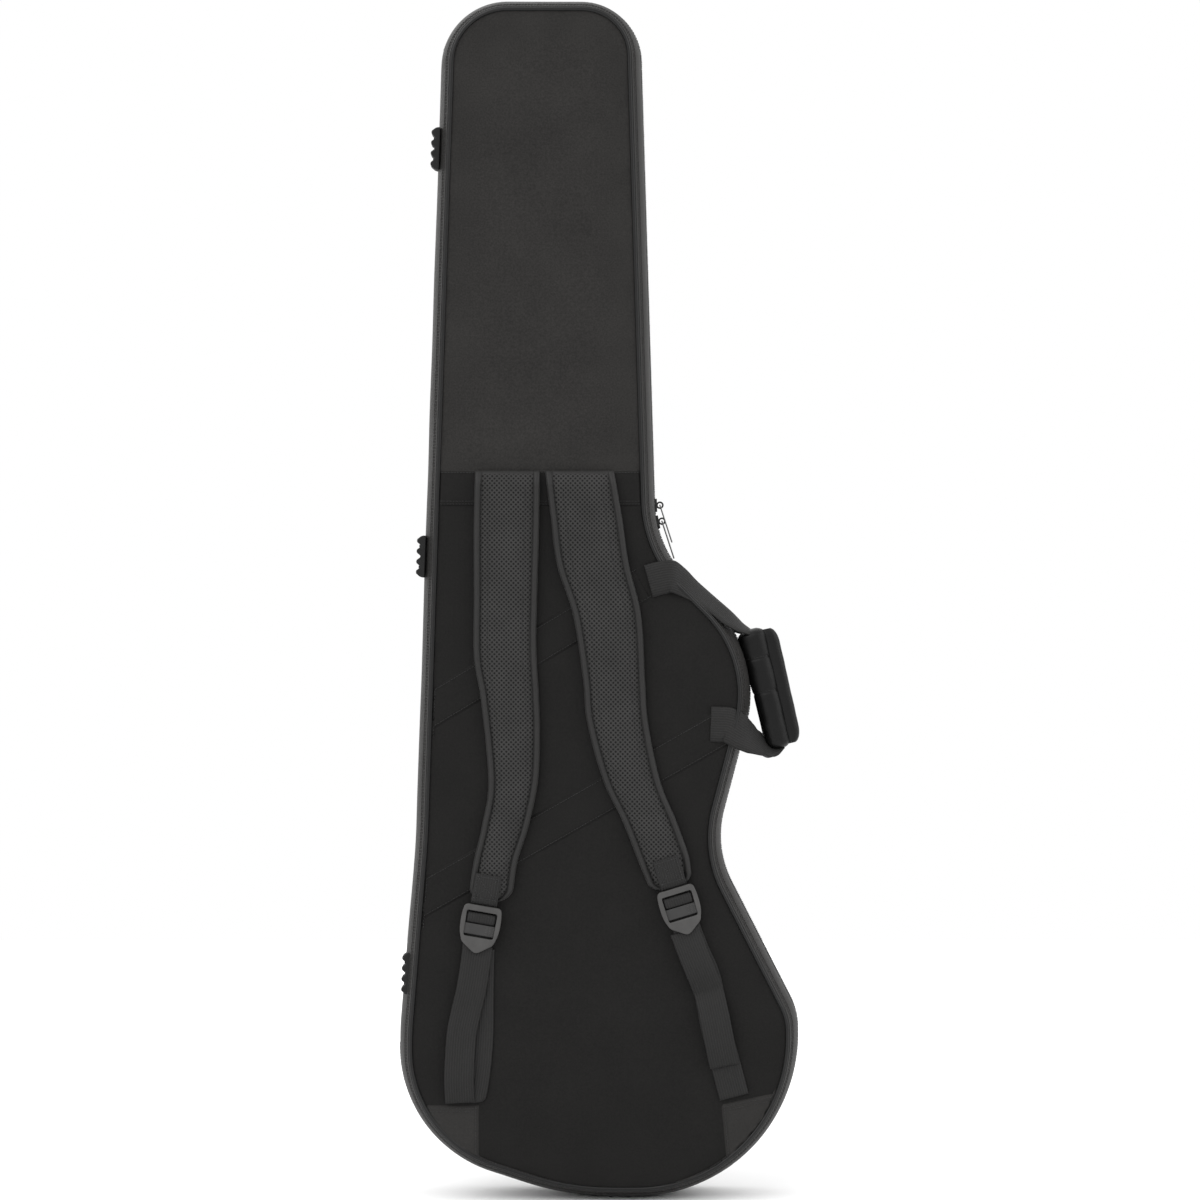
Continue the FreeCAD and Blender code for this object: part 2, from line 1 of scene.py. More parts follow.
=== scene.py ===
import bpy
import math
import bmesh
import numpy as np
from mathutils import Vector, Matrix, noise


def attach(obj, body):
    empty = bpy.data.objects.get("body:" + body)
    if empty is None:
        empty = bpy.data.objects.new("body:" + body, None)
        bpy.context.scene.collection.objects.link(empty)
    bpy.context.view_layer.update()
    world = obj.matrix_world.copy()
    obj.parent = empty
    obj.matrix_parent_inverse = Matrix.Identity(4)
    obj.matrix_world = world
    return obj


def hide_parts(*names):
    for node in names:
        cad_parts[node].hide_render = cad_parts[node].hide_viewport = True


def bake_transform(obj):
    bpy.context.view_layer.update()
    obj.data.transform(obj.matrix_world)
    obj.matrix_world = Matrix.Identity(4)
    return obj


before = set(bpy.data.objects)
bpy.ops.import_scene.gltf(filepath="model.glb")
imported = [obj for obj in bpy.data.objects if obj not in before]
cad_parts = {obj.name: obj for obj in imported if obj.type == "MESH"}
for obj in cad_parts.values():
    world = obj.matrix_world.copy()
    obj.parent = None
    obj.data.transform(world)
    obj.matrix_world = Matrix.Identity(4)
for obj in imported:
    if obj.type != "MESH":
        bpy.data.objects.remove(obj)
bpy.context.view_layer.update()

mm = 0.001

# the bag's own shape

bag = {
    # corners of the back panel, clockwise from the head: x, z, radius, 1 turns out, -1 turns in
    "corners": [
        (-152.5, 1247, 58, 1), (30.5, 1247, 50, 1), (47.7, 679, 130, -1), (160.8, 565.8, 120, 1),
        (108, 366, 120, -1), (197.5, 191, 60, 1), (197.5, 12.4, 158, 1), (-30.6, 12.4, 300, 1),
        (-197.5, 66.2, 125, 1), (-197.5, 176, 300, 1), (-181, 378, 900, -1),
    ],
    "backFace": -57,
    "frontFace": 53,
    "parting": -2,
    "bulge": 12.2,        # how far the side wall stands out past the piping
    "crown": 1.6,         # pillow of the panels
    "hingeSide": -100,    # the hinge lies to the left of this
    "hingeLow": 170,
    "hingeHigh": 1195,
}


def tracePath(corners, spacing):
    # walks round a rounded figure and returns evenly spaced (x, z, nx, nz, run)
    spots = [Vector((c[0], c[1])) for c in corners]
    bends = []
    for i, corner in enumerate(corners):
        here = spots[i]
        comeIn = (here - spots[i - 1]).normalized()
        goOut = (spots[(i + 1) % len(spots)] - here).normalized()
        sense, radius = corner[3], corner[2]
        half = comeIn.angle(goOut) / 2
        normalIn = Vector((-comeIn.y, comeIn.x))
        normalOut = Vector((-goOut.y, goOut.x))
        touch = here - comeIn * (radius * math.tan(half))
        centre = touch - normalIn * (radius * sense)
        bends.append((centre, radius, sense, normalIn, normalOut, half * 2))
    dense, fine = [], 1.0  # the fine spacing that the even one is read from
    for i, (centre, radius, sense, normalIn, normalOut, turn) in enumerate(bends):
        steps = max(6, int(radius * turn / fine))
        startAngle = math.atan2(normalIn.y, normalIn.x)
        for k in range(steps + 1):
            angle = startAngle - sense * turn * k / steps
            normal = Vector((math.cos(angle), math.sin(angle)))
            dense.append((centre + normal * (radius * sense), normal))
        nextBend = bends[(i + 1) % len(bends)]
        start = centre + normalOut * (radius * sense)
        stop = nextBend[0] + nextBend[3] * (nextBend[1] * nextBend[2])
        steps = max(2, int((stop - start).length / fine))
        for k in range(1, steps):
            dense.append((start.lerp(stop, k / steps), normalOut))
    xs = np.array([d[0].x for d in dense] + [dense[0][0].x])
    zs = np.array([d[0].y for d in dense] + [dense[0][0].y])
    nx = np.array([d[1].x for d in dense] + [dense[0][1].x])
    nz = np.array([d[1].y for d in dense] + [dense[0][1].y])
    run = np.concatenate([[0], np.cumsum(np.hypot(np.diff(xs), np.diff(zs)))])
    count = int(round(run[-1] / spacing))
    marks = np.linspace(0, run[-1], count, endpoint=False)
    return [tuple(float(np.interp(m, run, a)) for a in (xs, zs, nx, nz)) + (float(m),) for m in marks]


def sideTables(path, grow):
    # left and right edge of the figure as tables of x against z
    spots = [(x + nx * grow, z + nz * grow, nx) for x, z, nx, nz, _ in path]
    left = sorted((z, x) for x, z, nx in spots if nx < -1e-4)
    right = sorted((z, x) for x, z, nx in spots if nx > 1e-4)
    return np.array(left), np.array(right)


def edgesAt(z, tables):
    return [float(np.interp(z, table[:, 0], table[:, 1])) for table in tables]


bagPath = tracePath(bag["corners"], 4.0)
finePath = tracePath(bag["corners"], 1.0)


def gridPiece(name, rows, material, wrapCols=False, wrapRows=False, caps=False, uvAt=None, slotOf=None):
    # a mesh from rows of points in millimetres
    verts = [(p[0] * mm, p[1] * mm, p[2] * mm) for row in rows for p in row]
    rowCount, colCount = len(rows), len(rows[0])
    faces, uvs, slots = [], [], []
    for i in range(rowCount if wrapRows else rowCount - 1):
        for j in range(colCount if wrapCols else colCount - 1):
            ring = ((i, j), (i, j + 1), (i + 1, j + 1), (i + 1, j))
            faces.append([(r % rowCount) * colCount + c % colCount for r, c in ring])
            uvs.append([uvAt(r, c) if uvAt else (c * mm, r * mm) for r, c in ring])
            slots.append(slotOf(i, j) if slotOf else 0)
    if caps:
        for i in (0, rowCount - 1):
            faces.append([i * colCount + j for j in range(colCount)])
            uvs.append([uvAt(i, j) if uvAt else (j * mm, i * mm) for j in range(colCount)])
            slots.append(slotOf(i, 0) if slotOf else 0)
    mesh = bpy.data.meshes.new(name)
    mesh.from_pydata(verts, [], faces)
    layer = mesh.uv_layers.new(name="clothMap")
    flat = [c for face in uvs for uv in face for c in uv]
    layer.data.foreach_set("uv", flat)
    mesh.polygons.foreach_set("material_index", slots)
    mesh.polygons.foreach_set("use_smooth", [True] * len(faces))
    piece = bpy.data.objects.new(name, mesh)
    bpy.context.scene.collection.objects.link(piece)
    for m in material if isinstance(material, (list, tuple)) else [material]:
        mesh.materials.append(m)
    if caps or (wrapCols and wrapRows):
        tidyNormals(piece)
    return piece


def tidyNormals(piece):
    work = bmesh.new()
    work.from_mesh(piece.data)
    bmesh.ops.recalc_face_normals(work, faces=work.faces)
    work.to_mesh(piece.data)
    work.free()


def faceTowards(piece, way):
    # turns an open skin so that its faces point along way
    total = Vector((0, 0, 0))
    for polygon in piece.data.polygons:
        total += polygon.normal * polygon.area
    if total.dot(Vector(way)) < 0:
        piece.data.flip_normals()
    return piece


def faceOutOf(piece, centre):
    # turns an open skin so that its faces point away from a centre
    total = 0
    for polygon in piece.data.polygons:
        away = polygon.center - Vector(centre)
        total += polygon.normal.dot(away) * polygon.area
    if total < 0:
        piece.data.flip_normals()
    return piece


def skin(piece, thick):
    # gives cloth its thickness, inwards from its outer face
    solid = piece.modifiers.new("cloth thickness", "SOLIDIFY")
    solid.thickness = thick * mm
    solid.offset = -1
    return piece


def place(piece, body, slotName, *nodes):
    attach(piece, body)
    if nodes:
        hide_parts(*nodes)
    return piece


def smoothStep(low, high, value):
    t = min(max((value - low) / (high - low), 0), 1)
    return t * t * (3 - 2 * t)


def catmull(points, count):
    # smooth line through given points, evenly spaced by length
    pts = [Vector(p) for p in points]
    pts = [pts[0] * 2 - pts[1]] + pts + [pts[-1] * 2 - pts[-2]]
    dense = []
    for i in range(1, len(pts) - 2):
        a, b, c, d = pts[i - 1:i + 3]
        for k in range(24):
            t = k / 24
            dense.append(0.5 * (2 * b + (c - a) * t + (2 * a - 5 * b + 4 * c - d) * t * t
                                + (3 * b - 3 * c + d - a) * t ** 3))
    dense.append(pts[-2])
    run = [0]
    for a, b in zip(dense, dense[1:]):
        run.append(run[-1] + (b - a).length)
    out = []
    for k in range(count):
        mark = run[-1] * k / (count - 1)
        out.append(Vector([float(np.interp(mark, run, [p[n] for p in dense])) for n in range(len(pts[0]))]))
    return out, run[-1]


# materials

def nodeMaterial(name):
    material = bpy.data.materials.new(name)
    material.use_nodes = True
    shader = material.node_tree.nodes["Principled BSDF"]
    return material, material.node_tree, shader


def mathNode(tree, kind, first, second):
    node = tree.nodes.new("ShaderNodeMath")
    node.operation = kind
    for socket, value in zip(node.inputs, (first, second)):
        if isinstance(value, (int, float)):
            socket.default_value = value
        else:
            tree.links.new(value, socket)
    return node.outputs[0]


def coordinates(tree, useUv, turn=0.0):
    if useUv:
        source = tree.nodes.new("ShaderNodeUVMap")
        source.uv_map = "clothMap"
        spot = source.outputs["UV"]
    else:
        source = tree.nodes.new("ShaderNodeTexCoord")
        spot = source.outputs["Object"]
    mapping = tree.nodes.new("ShaderNodeMapping")
    mapping.inputs["Rotation"].default_value[2] = turn
    tree.links.new(spot, mapping.inputs["Vector"])
    return mapping.outputs["Vector"]


def waveNode(tree, spot, axis, pitch):
    wave = tree.nodes.new("ShaderNodeTexWave")
    wave.wave_type = "BANDS"
    wave.bands_direction = axis
    wave.inputs["Scale"].default_value = 0.314 / (pitch * mm)
    wave.inputs["Distortion"].default_value = 0.0
    tree.links.new(spot, wave.inputs["Vector"])
    return wave.outputs["Fac"]


def noiseNode(tree, spot, size, detail=3.0, roughness=0.55):
    node = tree.nodes.new("ShaderNodeTexNoise")
    node.inputs["Scale"].default_value = 1 / (size * mm)
    node.inputs["Detail"].default_value = detail
    node.inputs["Roughness"].default_value = roughness
    tree.links.new(spot, node.inputs["Vector"])
    return node.outputs["Fac"]


def spreadNode(tree, value, low, high):
    node = tree.nodes.new("ShaderNodeMapRange")
    node.inputs["To Min"].default_value = low
    node.inputs["To Max"].default_value = high
    tree.links.new(value, node.inputs["Value"])
    return node.outputs["Result"]


def tintNode(tree, amount, dark, light):
    ramp = tree.nodes.new("ShaderNodeMix")
    ramp.data_type = "RGBA"
    ramp.inputs[6].default_value = (*dark, 1)
    ramp.inputs[7].default_value = (*light, 1)
    tree.links.new(amount, ramp.inputs[0])
    return ramp.outputs[2]


def bumpNode(tree, height, distance, strength=1.0, under=None):
    bump = tree.nodes.new("ShaderNodeBump")
    bump.inputs["Distance"].default_value = distance * mm
    bump.inputs["Strength"].default_value = strength
    tree.links.new(height, bump.inputs["Height"])
    if under:
        tree.links.new(under, bump.inputs["Normal"])
    return bump.outputs["Normal"]


def clothMaterial(name, look):
    # woven cloth: threads across and along, fuzz, and soft creases
    material, tree, shader = nodeMaterial(name)
    link = tree.links.new
    spot = coordinates(tree, look.get("useUv", True))
    solid = coordinates(tree, False)
    across = waveNode(tree, spot, "X", look["pitch"])
    along = waveNode(tree, spot, "Y", look.get("pitchAlong", look["pitch"]))
    if look.get("ribs"):
        weave = mathNode(tree, "ADD", across, mathNode(tree, "MULTIPLY", along, 0.45))
    else:
        weave = mathNode(tree, "MULTIPLY", across, along)
    cloud = noiseNode(tree, solid, look.get("cloud", 60), 4)
    fuzz = noiseNode(tree, solid, look.get("grain", 1.2), 2)
    mixed = mathNode(tree, "ADD", mathNode(tree, "MULTIPLY", cloud, 0.35),
                     mathNode(tree, "MULTIPLY", fuzz, 0.65))
    shade = mathNode(tree, "ADD", spreadNode(tree, mixed, -0.35, 1.05),
                     mathNode(tree, "MULTIPLY", weave, 0.35))
    colour = tintNode(tree, shade, look["dark"], look["light"])
    if "upper" in look:
        # the cloth above the strap band is made lighter, in a step at the band's top seam
        brighter, seamHeight = look["upper"]
        parts = tree.nodes.new("ShaderNodeSeparateXYZ")
        link(solid, parts.inputs[0])
        above = tree.nodes.new("ShaderNodeMapRange")
        above.inputs["From Min"].default_value = seamHeight - 0.002
        above.inputs["From Max"].default_value = seamHeight
        above.inputs["To Max"].default_value = 1.0
        link(parts.outputs["Z"], above.inputs["Value"])
        lift = tree.nodes.new("ShaderNodeMix")
        lift.data_type = "RGBA"
        lift.blend_type = "MULTIPLY"
        lift.inputs[7].default_value = (brighter, brighter, brighter, 1)
        link(above.outputs["Result"], lift.inputs[0])
        link(colour, lift.inputs[6])
        colour = lift.outputs[2]
    link(colour, shader.inputs["Base Color"])
    link(spreadNode(tree, mixed, look["rough"] - 0.08, look["rough"] + 0.1), shader.inputs["Roughness"])
    creases = bumpNode(tree, cloud, look.get("crease", 1.2), 0.5)
    threads = bumpNode(tree, weave, look["depth"], 0.9, creases)
    link(bumpNode(tree, fuzz, look.get("fuzzDepth", 0.08), 0.6, threads), shader.inputs["Normal"])
    shader.inputs["Sheen Weight"].default_value = look["sheen"]
    shader.inputs["Sheen Roughness"].default_value = 0.45
    shader.inputs["Specular IOR Level"].default_value = look.get("gloss", 0.35)
    return material


def mouldedMaterial(name, look):
    # plastic, rubber, vinyl and metal, with grain and scuffs
    material, tree, shader = nodeMaterial(name)
    link = tree.links.new
    solid = coordinates(tree, False)
    cloud = noiseNode(tree, solid, look.get("cloud", 14), 4)
    grain = noiseNode(tree, solid, look["grain"], 3, 0.7)
    scuff = noiseNode(tree, solid, look["grain"] * 6, 5, 0.75)
    tone = spreadNode(tree, cloud, -0.2, 1.2)
    link(tintNode(tree, tone, look["dark"], look["light"]), shader.inputs["Base Color"])
    link(spreadNode(tree, scuff, look["rough"] - 0.12, look["rough"] + 0.16), shader.inputs["Roughness"])
    rough = bumpNode(tree, grain, look["depth"], 0.7)
    link(bumpNode(tree, scuff, look["depth"] * 1.5, 0.25, rough), shader.inputs["Normal"])
    shader.inputs["Metallic"].default_value = look.get("metal", 0.0)
    shader.inputs["Specular IOR Level"].default_value = look.get("gloss", 0.45)
    return material


def meshClothMaterial(name, look):
    # spacer mesh: rows of diagonal holes in a knitted face
    material, tree, shader = nodeMaterial(name)
    link = tree.links.new
    spot = coordinates(tree, True, math.radians(45))
    solid = coordinates(tree, False)
    across = waveNode(tree, spot, "X", look["pitch"])
    along = waveNode(tree, spot, "Y", look["pitch"])
    holes = mathNode(tree, "MULTIPLY", across, along)
    rim = spreadNode(tree, holes, 1.0, -0.2)
    fuzz = noiseNode(tree, solid, 1.0, 2)
    cloud = noiseNode(tree, solid, 35, 3)
    shade = mathNode(tree, "MULTIPLY", rim, spreadNode(tree, cloud, 0.6, 1.25))
    link(tintNode(tree, shade, look["dark"], look["light"]), shader.inputs["Base Color"])
    link(spreadNode(tree, fuzz, 0.72, 0.95), shader.inputs["Roughness"])
    coarse = bumpNode(tree, rim, look["depth"], 1.0)
    link(bumpNode(tree, fuzz, 0.1, 0.7, coarse), shader.inputs["Normal"])
    shader.inputs["Sheen Weight"].default_value = 0.05
    shader.inputs["Specular IOR Level"].default_value = 0.15
    return material


def grey(value, warm=0.0):
    return (value * (1 + warm), value, value * (1 - warm))


# sizes in the looks are in millimetres
nylon = {"pitch": 1.3, "depth": 0.16, "grain": 1.7}
plushLook = {"dark": grey(0.02), "light": grey(0.07), "pitch": 0.7, "depth": 0.1, "rough": 0.9, "sheen": 0.35,
             "grain": 1.6, "fuzzDepth": 0.7, "cloud": 40}
finishes = {
    "panelCloth": clothMaterial("panelCloth", {
        **nylon, "dark": grey(0.003, 0.04), "light": grey(0.012, 0.05), "rough": 0.66,
        "sheen": 0.02, "gloss": 0.12, "fuzzDepth": 0.14, "upper": (2.6, 0.764)}),
    "lidCloth": clothMaterial("lidCloth", {
        **nylon, "dark": grey(0.006, 0.04), "light": grey(0.02, 0.05), "rough": 0.66,
        "sheen": 0.02, "gloss": 0.12, "fuzzDepth": 0.14}),
    "patchCloth": clothMaterial("patchCloth", {
        **nylon, "dark": grey(0.012, 0.04), "light": grey(0.028, 0.05), "rough": 0.66,
        "sheen": 0.03, "gloss": 0.14}),
    "gussetCloth": clothMaterial("gussetCloth", {
        **nylon, "dark": grey(0.005, 0.06), "light": grey(0.019, 0.09), "rough": 0.55,
        "sheen": 0.04, "gloss": 0.2}),
    "webbing": clothMaterial("webbing", {
        "dark": grey(0.005, 0.02), "light": grey(0.02, 0.02), "pitch": 2.6, "pitchAlong": 1.1, "depth": 0.22,
        "rough": 0.58, "sheen": 0.03, "gloss": 0.16, "ribs": True, "crease": 0.6}),
    "binding": clothMaterial("binding", {
        "dark": grey(0.007, 0.03), "light": grey(0.021, 0.03), "pitch": 1.0, "depth": 0.1, "rough": 0.5,
        "sheen": 0.05, "gloss": 0.25}),
    "thread": clothMaterial("thread", {
        "dark": grey(0.006), "light": grey(0.03), "pitch": 0.5, "depth": 0.05, "rough": 0.5, "sheen": 0.05,
        "useUv": False}),
    "gripCloth": clothMaterial("gripCloth", {
        "dark": grey(0.001), "light": grey(0.0035), "pitch": 0.8, "depth": 0.05, "rough": 0.42, "sheen": 0.0,
        "gloss": 0.2, "crease": 2.2, "cloud": 22}),
    "plush": clothMaterial("plush", plushLook),
    "plushBlock": clothMaterial("plushBlock", {**plushLook, "useUv": False}),
    "spacerMesh": meshClothMaterial("spacerMesh", {
        "dark": grey(0.002), "light": grey(0.036, 0.02), "pitch": 3.5, "depth": 0.7}),
    "vinyl": mouldedMaterial("vinyl", {
        "dark": grey(0.0015), "light": grey(0.004), "rough": 0.34, "grain": 0.7, "depth": 0.03,
        "gloss": 0.3}),
    "buckleResin": mouldedMaterial("buckleResin", {
        "dark": grey(0.026, 0.03), "light": grey(0.05, 0.03), "rough": 0.44, "grain": 0.35, "depth": 0.05}),
    "barResin": mouldedMaterial("barResin", {
        "dark": grey(0.012, 0.02), "light": grey(0.024, 0.02), "rough": 0.6, "grain": 0.35, "depth": 0.08}),
    "footRubber": mouldedMaterial("footRubber", {
        "dark": grey(0.006), "light": grey(0.016), "rough": 0.72, "grain": 0.5, "depth": 0.08,
        "gloss": 0.25}),
    "coilResin": mouldedMaterial("coilResin", {
        "dark": grey(0.006), "light": grey(0.014), "rough": 0.4, "grain": 0.3, "depth": 0.02}),
    "wireMetal": mouldedMaterial("wireMetal", {
        "dark": grey(0.12), "light": grey(0.26), "rough": 0.3, "grain": 0.4, "depth": 0.02, "metal": 1.0}),
    "blackMetal": mouldedMaterial("blackMetal", {
        "dark": grey(0.015), "light": grey(0.04), "rough": 0.35, "grain": 0.4, "depth": 0.02, "metal": 0.8}),
}
print("materials made:", len(finishes))

# stitches and teeth, repeated by nodes

repeats = {
    "stitch": {"pitch": 3.2, "size": (2.5, 0.5, 0.34)},
    "tooth": {"pitch": 2.0, "size": (0.95, 2.6, 1.3)},
    "seed": 7,
}


def repeatTree():
    # small rounded blocks set along lines, long side along the line
    tree = bpy.data.node_groups.new("rowOfBlocks", "GeometryNodeTree")
    face = tree.interface
    face.new_socket("Geometry", in_out="INPUT", socket_type="NodeSocketGeometry")
    for label in ("Pitch", "Length", "Width", "Height"):
        face.new_socket(label, in_out="INPUT", socket_type="NodeSocketFloat")
    face.new_socket("Seed", in_out="INPUT", socket_type="NodeSocketInt")
    face.new_socket("Up", in_out="INPUT", socket_type="NodeSocketVector")
    face.new_socket("Material", in_out="INPUT", socket_type="NodeSocketMaterial")
    face.new_socket("Geometry", in_out="OUTPUT", socket_type="NodeSocketGeometry")
    add, link = tree.nodes.new, tree.links.new
    source, result = add("NodeGroupInput"), add("NodeGroupOutput")
    curve, points = add("GeometryNodeMeshToCurve"), add("GeometryNodeCurveToPoints")
    points.mode = "LENGTH"
    link(source.outputs["Geometry"], curve.inputs["Mesh"])
    link(curve.outputs["Curve"], points.inputs["Curve"])
    link(source.outputs["Pitch"], points.inputs["Length"])
    block, size = add("GeometryNodeMeshIcoSphere"), add("ShaderNodeCombineXYZ")
    block.inputs["Radius"].default_value = 0.62
    block.inputs["Subdivisions"].default_value = 1
    for axis, label in zip("XYZ", ("Length", "Width", "Height")):
        link(source.outputs[label], size.inputs[axis])
    along, upright = add("FunctionNodeAlignRotationToVector"), add("FunctionNodeAlignRotationToVector")
    along.axis, upright.axis, upright.pivot_axis = "X", "Z", "X"
    link(points.outputs["Tangent"], along.inputs["Vector"])
    link(along.outputs["Rotation"], upright.inputs["Rotation"])
    link(source.outputs["Up"], upright.inputs["Vector"])
    chance, grown = add("FunctionNodeRandomValue"), add("ShaderNodeVectorMath")
    chance.data_type = "FLOAT"
    chance.inputs[2].default_value = 0.92
    chance.inputs[3].default_value = 1.08
    grown.operation = "SCALE"
    link(source.outputs["Seed"], chance.inputs["Seed"])
    link(size.outputs[0], grown.inputs[0])
    link(chance.outputs[1], grown.inputs["Scale"])
    copies, real = add("GeometryNodeInstanceOnPoints"), add("GeometryNodeRealizeInstances")
    dress, round_ = add("GeometryNodeSetMaterial"), add("GeometryNodeSetShadeSmooth")
    link(points.outputs["Points"], copies.inputs["Points"])
    link(block.outputs["Mesh"], copies.inputs["Instance"])
    link(upright.outputs["Rotation"], copies.inputs["Rotation"])
    link(grown.outputs[0], copies.inputs["Scale"])
    link(copies.outputs["Instances"], real.inputs["Geometry"])
    link(real.outputs["Geometry"], round_.inputs["Geometry"])
    link(round_.outputs["Geometry"], dress.inputs["Geometry"])
    link(source.outputs["Material"], dress.inputs["Material"])
    link(dress.outputs["Geometry"], result.inputs[0])
    return tree


blockRows = repeatTree()


def alongLines(name, lines, kind, up, material):
    # lines are lists of points in millimetres
    look = repeats[kind]
    verts, edges = [], []
    for line in lines:
        base = len(verts)
        verts += [tuple(c * mm for c in p) for p in line]
        edges += [(base + k, base + k + 1) for k in range(len(line) - 1)]
    mesh = bpy.data.meshes.new(name + "Line")
    mesh.from_pydata(verts, edges, [])
    guide = bpy.data.objects.new(name + "Line", mesh)
    bpy.context.scene.collection.objects.link(guide)
    row = guide.modifiers.new("row", "NODES")
    row.node_group = blockRows
    values = {"Pitch": look["pitch"] * mm, "Length": look["size"][0] * mm, "Width": look["size"][1] * mm,
              "Height": look["size"][2] * mm, "Seed": repeats["seed"], "Up": up, "Material": material}
    for item in blockRows.interface.items_tree:
        if item.in_out == "INPUT" and item.name in values:
            row[item.identifier] = values[item.name]
    seen = guide.evaluated_get(bpy.context.evaluated_depsgraph_get())
    made = bpy.data.meshes.new_from_object(seen)
    piece = bpy.data.objects.new(name, made)
    made.name = name
    bpy.context.scene.collection.objects.link(piece)
    bpy.data.objects.remove(guide)
    return piece


def sew(name, lines, body, up=(0, -1, 0)):
    piece = alongLines(name, lines, "stitch", up, finishes["thread"])
    return place(piece, body, "webbing")


# panels

panelEdges = sideTables(finePath, -1.0)
zHigh = max(p[1] for p in finePath)
zLow = min(p[1] for p in finePath)


def edgeRoom(x, z):
    # how far a spot lies inside the panel's edge, roughly
    left, right = edgesAt(z, panelEdges)
    return max(0.0, min(x - left, right - x, z - zLow, zHigh - z))


def wander(x, z, size, seed):
    # slow unevenness, from -1 to 1, about size across
    return noise.noise(Vector((x / size, z / size, seed)))


def panelRise(x, z, seed=0.0):
    # pillow and slack of a panel's cloth, in millimetres
    room = edgeRoom(x, z)
    pillow = bag["crown"] * (1 - math.exp(-room / 22))
    slack = 0.7 * wander(x, z, 120, seed + 1.7) + 0.3 * wander(x, z * 0.6, 45, seed + 5.1)
    pull = 0.5 * math.exp(-room / 9) * wander(x, z, 16, seed + 9.3)
    return pillow + smoothStep(0, 40, room) * slack + pull


def backDepth(x, z):
    return bag["backFace"] - panelRise(x, z)


def frontDepth(x, z):
    return bag["frontFace"] + panelRise(x, z, 30.0)


def fillPanel(name, path, grow, depthAt, cell, material):
    # a cloth panel over a figure, row by row
    left, right = sideTables(path, grow)
    low = min(left[0][0], right[0][0])
    high = max(left[-1][0], right[-1][0])
    zs, z = [low], low
    while z < high:
        step = min(cell, 0.25 + 0.12 * min(z - low + 0.4, high - z + 0.4))
        z = min(high, z + step)
        zs.append(z)
    columns = int(max(right[:, 1].max() - left[:, 1].min(), 40) / cell)
    rows = []
    for z in zs:
        a, b = edgesAt(z, (left, right))
        row = []
        for k in range(columns + 1):
            t = k / columns
            x = a + (b - a) * (0.5 - 0.5 * math.cos(math.pi * t)) * 0.35 + (b - a) * t * 0.65
            row.append((x, depthAt(x, z), z))
        rows.append(row)
    uvAt = lambda i, j: (rows[i][j][0] * mm, rows[i][j][2] * mm)
    return gridPiece(name, rows, material, uvAt=uvAt)


def openRun(path, inside):
    # the part of a closed path that inside(x, z) keeps, as one run
    keep = [p for p in path if inside(p[0], p[1])]
    jump = max(range(len(keep)), key=lambda i: (keep[i][4] - keep[i - 1][4]) % path[-1][4])
    return keep[jump:] + keep[:jump]


def sweepRing(name, path, profileAt, material, inside=None, wrapCols=False, slotOf=None):
    # a profile of (grow, depth) carried round a path; inside(x, z) keeps part of it
    keep = openRun(path, inside) if inside else path
    rows = []
    for x, z, nx, nz, run in keep:
        rows.append([(x + nx * g, y, z + nz * g) for g, y in profileAt(x, z, run)])
    lengths = [0.0]
    for a, b in zip(rows[0], rows[0][1:]):
        lengths.append(lengths[-1] + math.dist(a, b))
    lengths.append(lengths[-1] + math.dist(rows[0][-1], rows[0][0]))
    step = path[1][4] - path[0][4]
    uvAt = lambda i, j: (lengths[j] * mm, i * step * mm)
    return gridPiece(name, rows, material, wrapCols=wrapCols, wrapRows=inside is None,
                     caps=inside is not None and wrapCols, uvAt=uvAt, slotOf=slotOf)


wall = {
    "curve": 40.0,        # the swell is full this far in from the piping
    "fullness": 2.2,
    "loose": 0.54,
    "seamAt": 9.0,
    "seamDeep": 0.42,
    "seamWide": 1.1,
    "stitchGap": 1.6,
    "thick": 0.9,
}


def bulgeAt(into, x, z, run):
    # the side wall's swell at a distance in from its panel's edge
    swell = bag["bulge"] * (1 - (1 - min(into, wall["curve"]) / wall["curve"]) ** wall["fullness"])
    fold = wall["loose"] * wander(run, into * 2.2, 70, 3.3) * smoothStep(2, 20, into)
    seam = wall["seamDeep"] * math.exp(-((into - wall["seamAt"]) / wall["seamWide"]) ** 2)
    return swell + fold - seam


def gussetProfile(face, stop, steps=26):
    # from the piping to the zipper tape or the hinge
    sign = 1 if stop > face else -1
    span = abs(stop - face)

    def profileAt(x, z, run):
        spots = []
        for k in range(steps + 1):
            into = span * (k / steps) ** 1.15
            ease = smoothStep(span - 12, span, into)
            grow = bulgeAt(into, x, z, run) * (1 - ease) + (bag["bulge"] - 0.3) * ease
            spots.append((grow, face + sign * into))
        return spots
    return profileAt


def inHinge(x, z, past=0):
    # along the hinge, and a length past its ends
    return x < bag["hingeSide"] and bag["hingeLow"] - past <= z <= bag["hingeHigh"] + past


def tube(radius, out, depth, count=12):
    angles = [2 * math.pi * k / count for k in range(count)]
    return lambda x, z, run: [(out + radius * math.cos(a), depth + radius * math.sin(a)) for a in angles]


shells = {
    # sign is 1 where y grows from the panel to the parting, and -1 where it falls
    "back": {
        "body": "case_back", "sign": 1, "face": bag["backFace"], "depthAt": backDepth, "cloth": "panelCloth",
        "floor": -39.2, "panel": "back_panel", "gusset": "back_gusset", "piping": "back_piping",
        "tape": "zipper_tape_back", "chain": "zipper_chain_back", "foam": "back_foam_tray",
        "lining": "back_lining",
    },
    "front": {
        "body": "lid", "sign": -1, "face": bag["frontFace"], "depthAt": frontDepth, "cloth": "lidCloth",
        "floor": 35.2, "panel": "lid_panel", "gusset": "lid_gusset", "piping": "lid_piping",
        "tape": "zipper_tape_front", "chain": "zipper_chain_front", "foam": "lid_foam",
        "lining": "lid_lining",
    },
}
bagMiddle = (-0.03, -0.002, 0.5)


